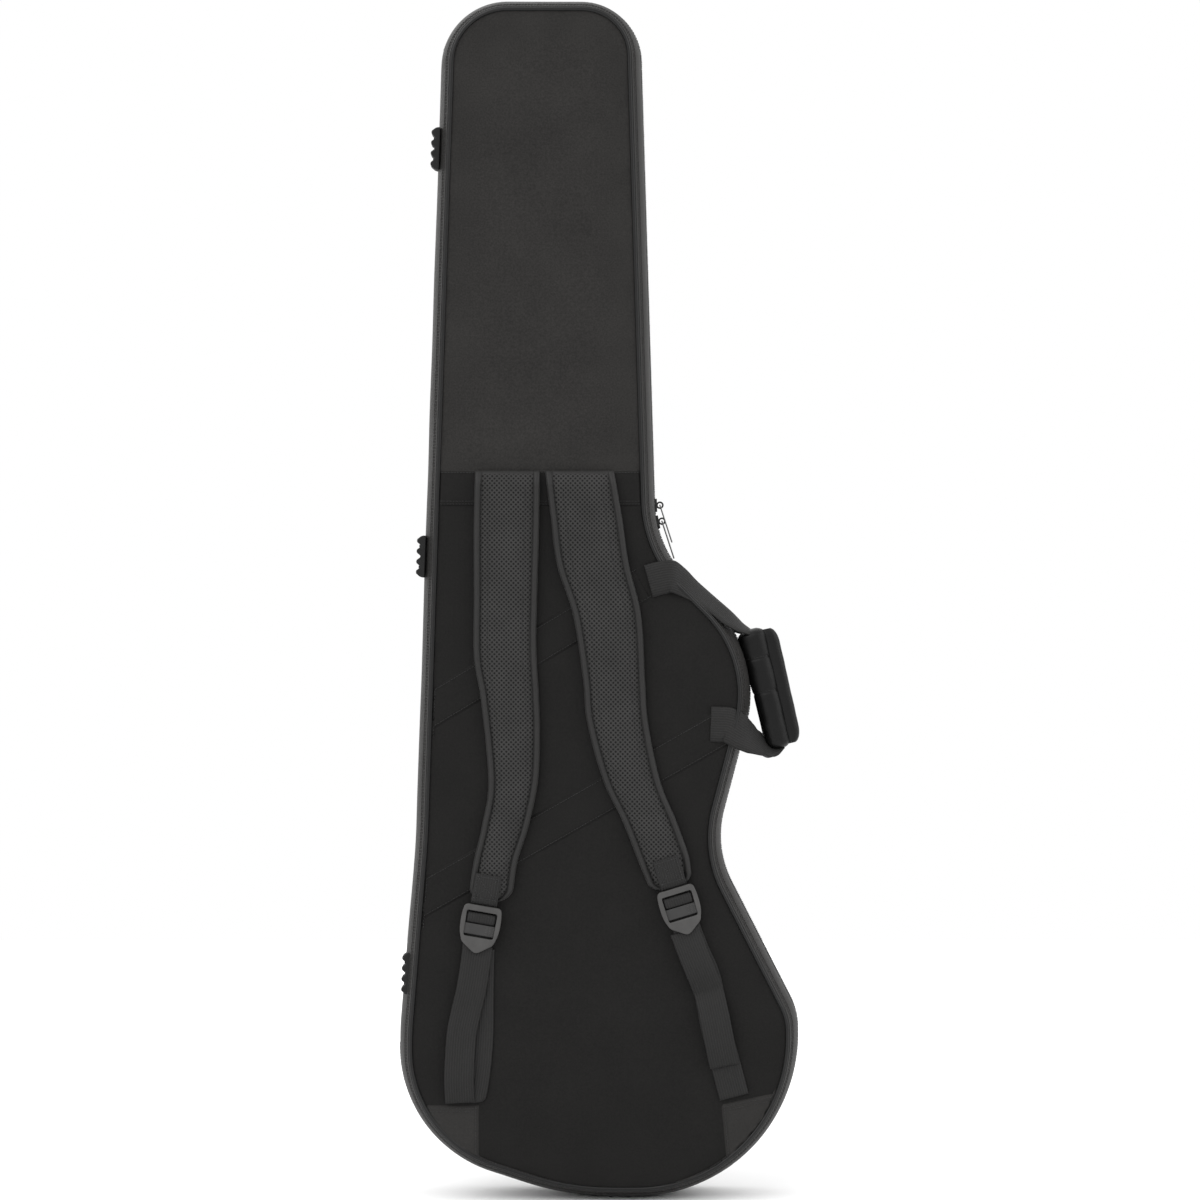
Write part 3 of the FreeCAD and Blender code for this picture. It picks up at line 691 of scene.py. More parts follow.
def buildShell(side):
    # skin, side wall, piping and lining of one half
    half = shells[side]
    body, sign, face = half["body"], half["sign"], half["face"]
    panel = fillPanel(side + "PanelCloth", finePath, -0.8, half["depthAt"], 3.2, finishes[half["cloth"]])
    faceTowards(panel, (0, -sign, 0))
    place(skin(panel, wall["thick"]), body, "panel_nylon", half["panel"])
    tapeEdge = bag["parting"] - sign * 12.3
    gusset = sweepRing(side + "Gusset", bagPath, gussetProfile(face, tapeEdge), finishes["gussetCloth"])
    faceOutOf(gusset, bagMiddle)
    place(skin(gusset, wall["thick"]), body, "panel_nylon", half["gusset"])
    cord = sweepRing(side + "Piping", bagPath, tube(2.1, -0.6, face - sign * 0.4), finishes["vinyl"],
                     wrapCols=True)
    place(cord, body, "piping_vinyl", half["piping"])
    collar = sweepRing(side + "PipingSeam", bagPath, tube(0.9, 1.9, face + sign * 0.8, 6),
                       finishes["binding"], wrapCols=True)
    place(collar, body, "panel_nylon")
    buildTape(side)
    buildInside(side)
    lines = []
    for into in (wall["seamAt"] - wall["stitchGap"], wall["seamAt"] + wall["stitchGap"]):
        line = []
        for x, z, nx, nz, run in bagPath + bagPath[:1]:
            out = bulgeAt(into, x, z, run) + 0.2
            line.append((x + nx * out, face + sign * into, z + nz * out))
        lines.append(line)
    sew(side + "WallStitches", lines, body, (0, -sign, 0))


tape = {
    "start": 13.0,        # how far from the parting each tape begins and ends
    "stop": 0.5,
    # the tape's section: how far it stands out, and the share of its width
    "rise": [(-0.6, 0), (0.25, 0.04), (0.45, 0.12), (0.3, 0.2), (0.3, 0.72), (0.55, 0.8), (0.5, 0.93),
             (0.0, 1.0)],
    "seams": (0.08, 0.16),
    "teethAt": 1.0,
    "teethGap": 8,        # the teeth end this far from the hinge cloth
}


def buildTape(side):
    # woven zipper tape with its row of coil teeth
    half = shells[side]
    body, sign = half["body"], half["sign"]
    start = bag["parting"] - sign * tape["start"]
    stop = bag["parting"] - sign * tape["stop"]
    out = bag["bulge"] - 0.2
    profileAt = lambda x, z, run: [(out + g, start + (stop - start) * t) for g, t in tape["rise"]]
    band = sweepRing(side + "ZipperTape", bagPath, profileAt, finishes["webbing"],
                     inside=lambda x, z: not inHinge(x, z))
    faceOutOf(band, bagMiddle)
    place(skin(band, 0.8), body, "webbing", half["tape"])
    line = openRun(bagPath, lambda x, z: not inHinge(x, z, tape["teethGap"]))

    def atDepth(lift, y):
        return [(x + nx * (out + lift), y, z + nz * (out + lift)) for x, z, nx, nz, _ in line]
    coil = atDepth(0.35, bag["parting"] - sign * tape["teethAt"])
    teeth = alongLines(side + "ZipperTeeth", [coil], "tooth", (0, 1, 0), finishes["coilResin"])
    place(teeth, body, "zipper_plastic", half["chain"])
    seams = [atDepth(0.75, start + (stop - start) * share) for share in tape["seams"]]
    sew(side + "TapeStitches", seams, body, (0, 1, 0))


inside = {"wallOut": -7.2, "cornerRound": 9.0, "rim": 1.6}


def buildInside(side):
    # plush-covered foam: bound rim, wall and floor
    half = shells[side]
    body, sign, floor = half["body"], half["sign"], half["floor"]
    out, rim = bag["bulge"] - 1.0, bag["parting"] - sign * inside["rim"]
    wallIn, curve = inside["wallOut"], inside["cornerRound"]
    profile = [(out - 1, rim - sign * 9), (out - 0.6, rim - sign * 2.5), (out - 2.2, rim - sign * 0.5),
               (out - 5, rim), (out - 9, rim + sign * 0.1), (wallIn + 5, rim),
               (wallIn + 1.6, rim - sign * 0.8), (wallIn + 0.1, rim - sign * 3),
               (wallIn - 0.2, rim - sign * 8), (wallIn, rim - sign * 18)]
    boundSteps = 7
    for k in range(7):
        angle = math.pi / 2 * k / 6
        grow = wallIn - curve * (1 - math.cos(angle))
        profile.append((grow, floor + sign * curve * (1 - math.sin(angle))))
    profile.append((wallIn - curve - 8, floor - sign * 0.4))
    cover = sweepRing(side + "WallPadding", bagPath, lambda x, z, run: profile,
                      [finishes["plush"], finishes["binding"]], slotOf=lambda i, j: int(j < boundSteps))
    faceTowards(cover, (0, sign, 0))
    place(skin(cover, 1.0), body, "plush_lining", half["foam"])
    rise = lambda x, z: floor + sign * (1.4 * wander(x, z, 90, 11.0) + 0.5 * wander(x, z, 30, 4.0))
    bed = fillPanel(side + "FloorPlush", finePath, wallIn - curve + 1, rise, 6.0, finishes["plush"])
    faceTowards(bed, (0, sign, 0))
    place(skin(bed, 1.0), body, "plush_lining", half["lining"])


for side in shells:
    buildShell(side)
print("shells made")

hinge = {"low": -15, "high": 11, "steps": 20, "swell": 0.25, "halfSpan": 13, "past": 4}


def buildHinge():
    # cloth that joins the two halves along the left side
    out = bag["bulge"] - 0.3
    spots = []
    for k in range(hinge["steps"] + 1):
        y = hinge["low"] + (hinge["high"] - hinge["low"]) * k / hinge["steps"]
        arch = math.cos((y - bag["parting"]) / hinge["halfSpan"] * math.pi / 2)
        spots.append((out + hinge["swell"] * arch, y))
    band = sweepRing("hingeCloth", bagPath, lambda x, z, run: spots, finishes["gussetCloth"],
                     inside=lambda x, z: inHinge(x, z, hinge["past"]))
    faceTowards(band, (-1, 0, 0))
    skin(band, 0.8)
    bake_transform(band)
    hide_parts("hinge_band")


buildHinge()

# bands and patches sewn on the back panel

bands = {
    "width": 38.0,
    "strapTop": 764.4,
    # each handle band's lower edge, its ends, and how far it runs on past the right one
    "lower": {"line": ((-185, 294.2), (142, 480.2)), "past": 0},
    "upper": {"line": ((-172.4, 493.7), (53.3, 628.6)), "past": 2},
    "edgeInset": 2.6,
}
patches = {
    "lift": 1.5,
    "stitchLift": 1.75,
    "left": [(-200, 0), (-125.4, 0), (-125.4, 100.8), (-200, 100.8)],
    "right": [(137, 0), (210, 0), (210, 118.8), (127.5, 101.9)],
    "stitches": [[(-195, 97.6), (-129, 97.6)], [(-128.8, 98), (-128.8, 20)], [(-195, 94), (-132, 94)],
                 [(131, 99.2), (205, 114.5)], [(131, 99), (138, 20)], [(134, 96), (205, 110.6)]],
}


def clampToPanel(x, z, inset):
    z = min(max(z, zLow + inset), zHigh - inset)
    left, right = edgesAt(z, panelEdges)
    return min(max(x, left + inset), right - inset), z


def drape(name, corners, material, body, slotName, nodes, lift=1.0, cell=3.0):
    # a flat patch laid on the back panel; corners go round as (x, z)
    a, b, c, d = [Vector(p) for p in corners]
    across = max(8, int(max((b - a).length, (c - d).length) / cell))
    along = max(8, int(max((d - a).length, (c - b).length) / cell))
    rows = []
    for i in range(along + 1):
        row, v = [], i / along
        for j in range(across + 1):
            u = j / across
            p = a.lerp(b, u).lerp(d.lerp(c, u), v)
            x, z = clampToPanel(p.x, p.y, bands["edgeInset"])
            edge = min(i, along - i, j, across - j)
            rise = lift * (0.0, 0.9, 1.0)[min(edge, 2)]
            puff = 0.25 * wander(x, z, 18, 21.0) if edge > 1 else 0
            row.append((x, backDepth(x, z) - rise - puff + 0.1, z))
        rows.append(row)
    turn = math.atan2((b - a).y, (b - a).x)
    cosT, sinT = math.cos(-turn), math.sin(-turn)

    def uvAt(i, j):
        x, _, z = rows[i][j]
        return ((x * sinT + z * cosT) * mm, (x * cosT - z * sinT) * mm)
    piece = gridPiece(name, rows, material, uvAt=uvAt)
    faceTowards(piece, (0, -1, 0))
    return place(skin(piece, 0.9), body, slotName, *nodes)


def onPanel(points, lift):
    # a line of points on the panel, kept inside its edge
    line, _ = catmull([(p[0], p[1]) for p in points], max(3, int(math.dist(points[0], points[-1]) / 3)))
    out = []
    for p in line:
        x, z = clampToPanel(p.x, p.y, bands["edgeInset"] + 1)
        out.append((x, backDepth(x, z) - lift, z))
    return out


def buildBands():
    top, width = bands["strapTop"], bands["width"]
    drape("strapAnchorBand", [(-200, top - width), (100, top - width), (100, top), (-200, top)],
          finishes["panelCloth"], "case_back", "panel_nylon", ["strap_anchor_band"])
    heights = (top - 2.5, top - width + 2.5, top - width + 5.5)
    sew("strapBandStitches", [onPanel([(-170, z), (60, z)], 1.35) for z in heights], "case_back")
    for label in ("lower", "upper"):
        low, high = (Vector(p) for p in bands[label]["line"])
        run = (high - low).normalized()
        up = Vector((-run.y, run.x)) * width
        low, high = low - run * 20, high + run * bands[label]["past"]
        drape(label + "HandleBand", [low, high, high + up, low + up], finishes["panelCloth"], "case_back",
              "webbing", ["handle_band_" + label], lift=0.9)
        seams = [onPanel([low + up * s, high + up * s], 1.2) for s in (0.08, 0.92)]
        sew(label + "HandleBandStitches", seams, "case_back")
    for label in ("left", "right"):
        drape("cornerPatch" + label.title(), patches[label], finishes["patchCloth"], "case_back",
              "panel_nylon", ["corner_patch_" + label], lift=patches["lift"])
    seams = [onPanel(line, patches["stitchLift"]) for line in patches["stitches"]]
    sew("cornerPatchStitches", seams, "case_back")


buildBands()
print("bands made")

# straps of webbing


def strap(name, stations, width, thick, material, count=40, endRound=0.0, widths=None):
    # stations: (x, y, z, ax, ay, az) with a the direction of the strap's width
    line, length = catmull(stations, count)
    rows, uvs = [], []
    for i, spot in enumerate(line):
        here = Vector(spot[0:3])
        before, after = Vector(line[max(i - 1, 0)][0:3]), Vector(line[min(i + 1, count - 1)][0:3])
        along = (after - before).normalized()
        side = Vector(spot[3:6])
        side = (side - along * side.dot(along)).normalized()
        face = along.cross(side)
        wide = width if widths is None else width * float(np.interp(i / (count - 1), *widths))
        if endRound:
            left = length * (1 - i / (count - 1))
            if left < endRound:
                wide *= max(0.25, math.sqrt(max(0.0, 1 - (1 - left / endRound) ** 2)))
        half, low = wide / 2, thick / 2
        # one face of the webbing, from edge to edge, and then the other
        across = [(-half + 0.5, 1), (-half * 0.55, 1.1), (0, 1.15), (half * 0.55, 1.1), (half - 0.5, 1)]
        shape = [(-half, 0)] + [(a, -low * b) for a, b in across]
        shape += [(half, 0)] + [(a, low * b) for a, b in reversed(across)]
        rows.append([tuple(here + side * a + face * b) for a, b in shape])
        run = length * i / (count - 1) * mm
        uvs.append([((a + half) * mm, run) for a, _ in shape] + [(0, run)])
    return gridPiece(name, rows, material, wrapCols=True, caps=True, uvAt=lambda i, j: uvs[i][j])


def boxStitches(local, half, low, high, lift):
    # a sewn box with a cross in it, in the strap's own flat frame
    ring = [(-half, low), (half, low), (half, high), (-half, high), (-half, low)]
    cross = [[(-half, low), (half, high)], [(half, low), (-half, high)]]
    lines = []
    for figure in [ring] + cross:
        line = []
        for a, b in zip(figure, figure[1:]):
            steps = max(2, int(math.dist(a, b) / 2))
            line += [tuple(Vector(a).lerp(Vector(b), k / steps)) for k in range(steps)]
        line.append(figure[-1])
        lines.append([tuple(local @ Vector((p[0], -lift, p[1]))) for p in line])
    return lines


shoulder = {
    # both edges of each pad from the top seam down, and the middle of its buckle's top bar
    "left": {
        "outer": [(-129.6, 763), (-130.8, 700), (-130.6, 637), (-130.6, 569), (-123.3, 524), (-115.5, 440),
                  (-122.3, 393), (-130.6, 357), (-134.8, 330)],
        "inner": [(-61.7, 763), (-62.6, 700), (-64.4, 637), (-65.4, 580), (-62.8, 530), (-61.6, 490),
                  (-63.6, 440), (-73.2, 393), (-84.6, 357), (-89.2, 328)],
        "tip": 17.0, "bar": (-121.0, 306.5), "lean": 10.0,
    },
    "right": {
        "outer": [(-56.4, 763), (-50.5, 715), (-43.9, 665), (-27.2, 613), (-16.7, 545), (-12.5, 501),
                  (4.2, 440.5), (24, 398.6), (39.7, 358.9), (50, 334)],
        "inner": [(15.7, 763), (24, 715), (31.4, 665), (43.9, 613), (48, 545), (51.2, 501),
                  (63.7, 440.5), (80.5, 398.6), (93, 364), (96, 346)],
        "tip": 14.0, "bar": (79.5, 325.0), "lean": -17.0,
    },
    "back": -59.3,
    "thick": 11.5,
    "binding": 7.0,
    "barDepth": -67.7,
    "webbing": 30.0,
    "webThick": 1.4,
}


def padSection(width, thick, ease):
    # a pad's section as (across, height): bound edge, swelling face, bound edge, and then its back
    bind = min(shoulder["binding"], width * 0.25)
    edge = []
    for k in range(9):
        angle = math.pi * k / 8
        edge.append((bind * (0.5 - 0.5 * math.cos(angle)), thick * (0.42 + 0.34 * math.sin(angle))))
    face = []
    for k in range(1, 20):
        t = k / 20
        swell = 1 - abs(2 * t - 1) ** 2.6
        face.append((bind + (width - 2 * bind) * t, thick * (0.5 + 0.5 * swell * ease)))
    front = edge + face + [(width - a, b) for a, b in reversed(edge)]
    low = 0.12 * thick
    back = [(width - 2, low), (width * 0.75, 0.0), (width * 0.5, 0.0), (width * 0.25, 0.0), (2, low)]
    return front, back


def padMarks(side, count=150, tipSteps=12):
    # both edges of a pad from the top down, then its rounded tip: (edge, edge, length so far)
    look = shoulder[side]
    outer, _ = catmull(look["outer"], count)
    inner, _ = catmull(look["inner"], count)
    marks, length = [], 0.0
    for i in range(count):
        if i:
            length += ((outer[i] + inner[i]) / 2 - (outer[i - 1] + inner[i - 1]) / 2).length
        marks.append((outer[i], inner[i], length))
    down = (marks[-1][0] + marks[-1][1] - marks[-4][0] - marks[-4][1]).normalized()
    a, b, run = marks[-1]
    for k in range(1, tipSteps + 1):
        angle = math.pi / 2 * k / (tipSteps + 0.5)
        reach = look["tip"] * math.sin(angle)
        squeeze = (1 - math.cos(angle)) / 2
        marks.append((a.lerp(b, squeeze) + down * reach, b.lerp(a, squeeze) + down * reach, run + reach))
    return marks


def buildPad(side):
    marks = padMarks(side)
    thick, total = shoulder["thick"], marks[-1][2]
    rows = []
    for a, b, run in marks:
        width = (b - a).length
        ends = smoothStep(0, 14, run) * smoothStep(0, 20, total - run)
        front, back = padSection(width, thick * (0.55 + 0.45 * ends), 0.5 + 0.5 * ends)
        row = []
        for along, rise in front + back:
            p = a.lerp(b, along / width)
            soft = 0.5 * wander(p.x, p.y, 26, 2.0) * (1 if rise > 4 else 0)
            row.append((p.x, shoulder["back"] - rise - soft, p.y))
        rows.append(row)
    frontCount, fullCount = len(front), len(rows[0])

    def slotOf(i, j):
        return 0 if 8 <= j < frontCount - 9 and 0 < i < len(rows) - 9 else 1

    def uvAt(i, j):
        x, _, z = rows[i][j % fullCount]
        return (x * mm, z * mm)
    pad = gridPiece("shoulderPad" + side.title(), rows, [finishes["spacerMesh"], finishes["binding"]],
                    wrapCols=True, caps=True, uvAt=uvAt, slotOf=slotOf)
    place(pad, "shoulder_strap_" + side, "spacer_mesh", "shoulder_pad_" + side)
    lines = []
    for inset, lift, first, last in ((8, 0.25, 4, -8), (11, 0.2, 6, -12)):
        for column in (inset, frontCount - inset - 1):
            lines.append([(r[column][0], r[column][1] - lift, r[column][2]) for r in rows[first:last]])
    sew("padStitches" + side.title(), lines, "shoulder_strap_" + side)


def buckleFrame(side):
    x, z = shoulder[side]["bar"]
    lean = math.radians(shoulder[side]["lean"])
    return Matrix.Translation((x, shoulder["barDepth"], z)) @ Matrix.Rotation(lean, 4, "Y")


buckle = {"half": 21.2, "topHalf": 19.4, "top": 3.4, "low": -36.5, "point": -46.6, "thick": 4.6, "edge": 1.0,
          "window": (-3.2, -30.0), "windowHalf": 16.0, "bar": (-16.6, -27.6),
          "ridges": {"count": 5, "pitch": 1.6, "inset": 2.2, "across": (7.5, 11, 14.6), "lift": 1.75}}


def roundedFigure(points, radius, steps=6):
    # rounds each corner with a short curve; one radius for all, or one for each
    out = []
    count = len(points)
    for i in range(count):
        here, before, after = Vector(points[i]), Vector(points[i - 1]), Vector(points[(i + 1) % count])
        r = radius[i] if isinstance(radius, (list, tuple)) else radius
        a = here + (before - here).normalized() * min(r, (before - here).length * 0.45)
        b = here + (after - here).normalized() * min(r, (after - here).length * 0.45)
        for k in range(steps + 1):
            t = k / steps
            out.append(a.lerp(here, t).lerp(here.lerp(b, t), t))
    return out


def buildBuckle(side):
    body = "strap_buckle_" + side
    look, name = buckle, "buckle" + side.title()
    half, point = look["half"], look["point"]
    rightSide = [(look["topHalf"], look["top"]), (half, -9), (half - 0.5, -25), (half - 4.6, look["low"]),
                 (2.2, point)]
    outline = [(-look["topHalf"], look["top"])] + rightSide + [(-x, z) for x, z in reversed(rightSide[1:])]
    outer = roundedFigure(outline, [5, 5, 8, 8, 3, 3, 3, 3, 8, 8])
    high, low = look["window"]
    wide = look["windowHalf"]
    window = [(-wide, high), (wide, high), (wide - 0.4, low), (0.4 - wide, low)]
    figures = [outer, roundedFigure(window, 2.2)]
    plate = bpy.data.curves.new(name, "CURVE")
    plate.dimensions, plate.fill_mode = "2D", "BOTH"
    plate.extrude = (look["thick"] / 2 - look["edge"]) * mm
    plate.bevel_depth, plate.bevel_resolution = look["edge"] * mm, 3
    plate.offset = -look["edge"] * mm
    for figure in figures:
        line = plate.splines.new("POLY")
        line.points.add(len(figure) - 1)
        for dot, p in zip(line.points, figure):
            dot.co = (p.x * mm, p.y * mm, 0, 1)
        line.use_cyclic_u = True
    holder = bpy.data.objects.new(name + "Curve", plate)
    bpy.context.scene.collection.objects.link(holder)
    seen = holder.evaluated_get(bpy.context.evaluated_depsgraph_get())
    mesh = bpy.data.meshes.new_from_object(seen)
    bpy.data.objects.remove(holder)
    stand = Matrix(((1, 0, 0), (0, 0, -1), (0, 1, 0))).to_4x4()
    frameHere = buckleFrame(side)
    frameHere.translation = frameHere.translation * mm
    mesh.transform(frameHere @ stand)
    work = bmesh.new()
    work.from_mesh(mesh)
    bmesh.ops.remove_doubles(work, verts=work.verts, dist=0.00001)
    bmesh.ops.recalc_face_normals(work, faces=work.faces)
    work.to_mesh(mesh)
    work.free()
    mesh.materials.clear()
    mesh.materials.append(finishes["buckleResin"])
    mesh.shade_smooth()
    mesh.set_sharp_from_angle(angle=math.radians(50))
    piece = bpy.data.objects.new(name, mesh)
    bpy.context.scene.collection.objects.link(piece)
    place(piece, body, "buckle_plastic", "buckle_" + side)
    local = buckleFrame(side)
    across = local.to_3x3() @ Vector((1, 0, 0))
    high, low = look["bar"]
    path = [local @ Vector((0, -0.4, high - (high - low) * t)) for t in (0, 0.3, 0.7, 1)]
    bar = strap(name + "Bar", [(*p, *across) for p in path], 2 * wide + 1, 2.4, finishes["barResin"], 14)
    place(bar, body, "buckle_plastic")
    upright = tuple(local.to_3x3() @ Vector((0, -1, 0)))
    rows, ridges = [], look["ridges"]
    for k in range(ridges["count"]):
        z = high - ridges["inset"] - ridges["pitch"] * k
        rows.append([tuple(local @ Vector((x, -ridges["lift"], z))) for x in ridges["across"]])
    teeth = alongLines(name + "Teeth", rows, "stitch", upright, finishes["buckleResin"])
    place(teeth, body, "buckle_plastic")
    buildKeeper(side, local)
    buildLoop(side, local)


def localStrap(name, local, path, width, thick, material, count):
    # a strap whose path is (depth, height) in the buckle's own frame
    across = local.to_3x3() @ Vector((1, 0, 0))
    stations = [(*(local @ Vector((0, depth, height))), *across) for depth, height in path]
    return strap(name, stations, width, thick, material, count)


def buildKeeper(side, local):
    # webbing from the pad's end round the buckle's top bar
    path = [(-5.1, 36), (-5.1, 30), (-4.9, 17), (-3.9, 9.5), (-1.2, 6.0), (1.6, 4.4), (3.1, 1.5), (3.0, -2.4),
            (3.8, -4.2), (4.9, -2.2), (5.1, 3), (4.9, 8)]
    piece = localStrap("padKeeper" + side.title(), local, path, 27.5, 1.3, finishes["webbing"], 60)
    place(piece, "shoulder_strap_" + side, "webbing", "buckle_keeper_" + side)
    lines = boxStitches(local, 11.0, 11.0, 33.0, 5.9)
    sew("keeperStitches" + side.title(), lines, "shoulder_strap_" + side)


def buildLoop(side, local):
    # adjusting webbing over the middle bar, and its two legs behind the tab
    path = [(3.2, -44), (3.2, -34), (3.2, -24), (2.9, -18), (1.0, -15.4), (-0.9, -14.4), (-1.5, -12.5),
            (-1.6, -9.5), (-1.2, -6.8), (0.4, -5.6), (3.0, -6.4), (4.9, -10), (5.1, -28), (5.1, -44)]
    piece = localStrap("barWebbing" + side.title(), local, path, 29.0, 1.3, finishes["webbing"], 90)
    place(piece, "strap_buckle_" + side, "webbing", "buckle_webbing_" + side)


lowerRuns = {
    # the sewn webbing and its loose tail, from the buckle down, and which way their width leans
    "left": {
        "load": [(-126.5, -64.6, 268), (-128.9, -66.2, 250), (-133.2, -66.6, 223), (-139.0, -65.4, 198),
                 (-143.6, -65.8, 174), (-146.0, -65.6, 134), (-145.7, -64.2, 116), (-145.1, -61.6, 103.5)],
        "tail": [(-124.6, -61.4, 264), (-125.2, -61.2, 240), (-125.6, -61.0, 210), (-125.7, -60.8, 180),
                 (-127.5, -60.8, 150), (-130.8, -60.6, 124), (-135.0, -60.4, 104)],
        "tailEnd": 9.0, "leans": ((0.97, 0, 0.22), (0.97, 0, 0.22), (1.0, 0, -0.03)),
    },
    "right": {
        "load": [(91.0, -62.2, 284), (99.5, -62.0, 262), (111.8, -61.6, 232.5), (121.7, -61.3, 183.4),
                 (132.2, -61.0, 143.7), (138.2, -60.8, 121), (141.2, -60.6, 109.5)],
        "tail": [(89.0, -65.6, 284), (97.4, -68.6, 262), (106.4, -69.0, 240), (111.2, -65.8, 228),
                 (114.6, -63.2, 219), (118.2, -66.6, 204), (122.0, -68.2, 186), (126.8, -66.0, 162),
                 (131.0, -63.4, 142)],
        "tailEnd": 0.0, "leans": ((0.93, 0, 0.36), (0.95, 0, 0.3), (0.96, 0, 0.25)),
    },
}


def buildLowerStrap(side):
    run = lowerRuns[side]
    first, middle, last = (Vector(lean) for lean in run["leans"])
    for label, node, points, rounding in (("lowerWebbing", "lower_webbing_", run["load"], 0.0),
                                          ("webbingTail", "webbing_tail_", run["tail"], run["tailEnd"])):
        stations = []
        for k, p in enumerate(points):
            t = k / (len(points) - 1)
            lean = first.lerp(middle, min(1, t * 2)).lerp(last, max(0, t * 2 - 1))
            stations.append((*p, *lean))
        piece = strap(label + side.title(), stations, shoulder["webbing"] + 1.0, shoulder["webThick"],
                      finishes["webbing"], 70, rounding)
        place(piece, "lower_strap_" + side, "webbing", node + side)


for side in ("left", "right"):
    buildPad(side)
    buildBuckle(side)
    buildLowerStrap(side)
print("shoulder straps made")

# carry handle

handle = {
    "grip": (175.7, -20.0, 535.0), "lean": 12.7, "length": 130.0, "wide": 27.0, "deep": 31.0,
    "quilts": (0.245, 0.525), "flapWide": 17.0, "flapDeep": 22.0, "webbing": 37.0, "webThick": 1.8,
}
gripFrame = Matrix.Translation(handle["grip"]) @ Matrix.Rotation(math.radians(-handle["lean"]), 4, "Y")


def gripSpot(x, y, z):
    return gripFrame @ Vector((x, y, z))


def superSection(wide, deep, power, count=36):
    # a rounded rectangle: the higher the power, the squarer it is
    bend = lambda value: math.copysign(abs(value) ** (2 / power), value)
    angles = [2 * math.pi * k / count for k in range(count)]
    return [(wide / 2 * bend(math.cos(a)), deep / 2 * bend(math.sin(a))) for a in angles]


def buildGrip():
    # the padded roll, pinched by its quilting seams
    length, rows, steps = handle["length"], [], 110
    for i in range(steps + 1):
        t = i / steps
        z = length * (0.5 - t)
        ends = min(1.0, (min(t, 1 - t) * length + 0.6) / 9)
        size = math.sqrt(max(0.05, 1 - (1 - ends) ** 2))
        pinch = sum(math.exp(-((t - q) * length / 1.3) ** 2) for q in handle["quilts"])
        puff = sum(math.exp(-((t - q) * length / 9) ** 2) for q in handle["quilts"])
        grow = 1 + 0.02 * math.sin(math.pi * t) - 0.07 * pinch - 0.03 * puff
        row = []
        section = superSection(handle["wide"] * size * grow, handle["deep"] * size * grow, 2.5)
        for k, (a, b) in enumerate(section):
            soft = 0.35 * wander(k * 4, z, 14, 8.0)
            spread = 3.6 * smoothStep(-30, 60, z) * size * (0.5 - a / handle["wide"])
            row.append(tuple(gripSpot(a + soft * 0.7 - spread, b + soft, z)))
        rows.append(row)
    uvAt = lambda i, j: (j * 2.6 * mm, i * length / steps * mm)
    roll = gridPiece("handleGripRoll", rows, finishes["gripCloth"], wrapCols=True, caps=True, uvAt=uvAt)
    place(roll, "carry_handle", "grip_fabric", "handle_grip")
    rings = []
    for q in handle["quilts"]:
        row = rows[int(q * steps)]
        rings.append(row[18:] + row[:1])
    sew("gripQuiltStitches", rings, "carry_handle", (0, 0, 1))


def buildFlap():
    # the wrap's closing edge, folded along the outer side of the roll
    wide, deep, long = handle["flapWide"], handle["flapDeep"], handle["length"] - 7
    rows, steps = [], 90
    start = handle["wide"] / 2 - 5
    for i in range(steps + 1):
        t = i / steps
        z = long * (0.5 - t)
        ends = min(1.0, (min(t, 1 - t) * long + 0.5) / 17)
        size = math.sqrt(max(0.03, 1 - (1 - ends) ** 2))
        row = []
        for k, (a, b) in enumerate(superSection(wide, deep * (0.6 + 0.4 * size), 2.8, 32)):
            lift = 0.35 * wander(k * 3, z, 16, 12.0)
            fold = 1.1 * math.exp(-((a - 0.5) / 1.3) ** 2) * (1 if b < 0 else 0)
            x = start + (a + wide / 2) * (0.5 + 0.5 * size) + lift
            row.append(tuple(gripSpot(x, b * (1 - 0.25 * (a / wide + 0.5)) + lift + fold, z)))
        rows.append(row)
    uvAt = lambda i, j: (j * 1.8 * mm, i * long / steps * mm)
    flap = gridPiece("handleGripFlap", rows, finishes["gripCloth"], wrapCols=True, caps=True, uvAt=uvAt)
    place(flap, "handle_flap", "grip_fabric", "grip_flap")
    lines = [[tuple(gripSpot(start + wide * 0.82, -deep * 0.36, z)) for z in range(-48, 49, 2)]]
    sew("flapStitches", lines, "handle_flap")


def handleRuns(face, deepSpot):
    # stations of both legs of a webbing loop: point and direction of width
    sign = 1 if face > 0 else -1
    lift = face + sign * 3.0
    half = handle["length"] / 2
    top, bottom = gripSpot(-1, deepSpot, half - 2), gripSpot(-1, deepSpot, 2 - half)
    middle = (lift + top.y) / 2
    upper = [
        (51.5, lift + 0.4, 648.2, 0.58, 0, -0.81),
        (64.3, lift, 651.6, 0.34, 0, -0.94),
        (76, lift, 653.2, 0.05, sign * 0.1, -1),
        (86, face - sign * 4, 648, -0.2, sign * 0.5, -0.8),
        (99, face - sign * 10, 638.5, -0.33, sign * 0.8, -0.55),
        (116, face - sign * 14, 625.5, -0.33, sign * 0.85, -0.45),
        (134, (face * 2 + top.y) / 3 - sign * 4, 611, -0.35, sign * 0.85, -0.45),
        (149, (middle + top.y) / 2 + sign * 1, 601.5, -0.25, sign * 0.95, -0.3),
        (*top, -0.1, sign * 1.0, -0.1),
    ]
    lower = [
        (*bottom, -0.1, sign * 1.0, -0.1),
        (179.5, (middle + bottom.y) / 2 + sign * 1, 472.2, -0.1, sign * 0.9, -0.45),
        (172, face - sign * 21, 476, 0.0, sign * 0.7, -0.7),
        (162, face - sign * 11, 482, 0.08, sign * 0.4, -0.9),
        (150, face - sign * 2, 489, 0.1, sign * 0.1, -0.99),
        (136, lift, 497.5, 0.13, 0, -0.99),
        (126, lift, 498.6, 0.24, 0, -0.96),
        (116.7, lift + 0.4, 499, 0.37, 0, -0.93),
    ]
    return upper, lower


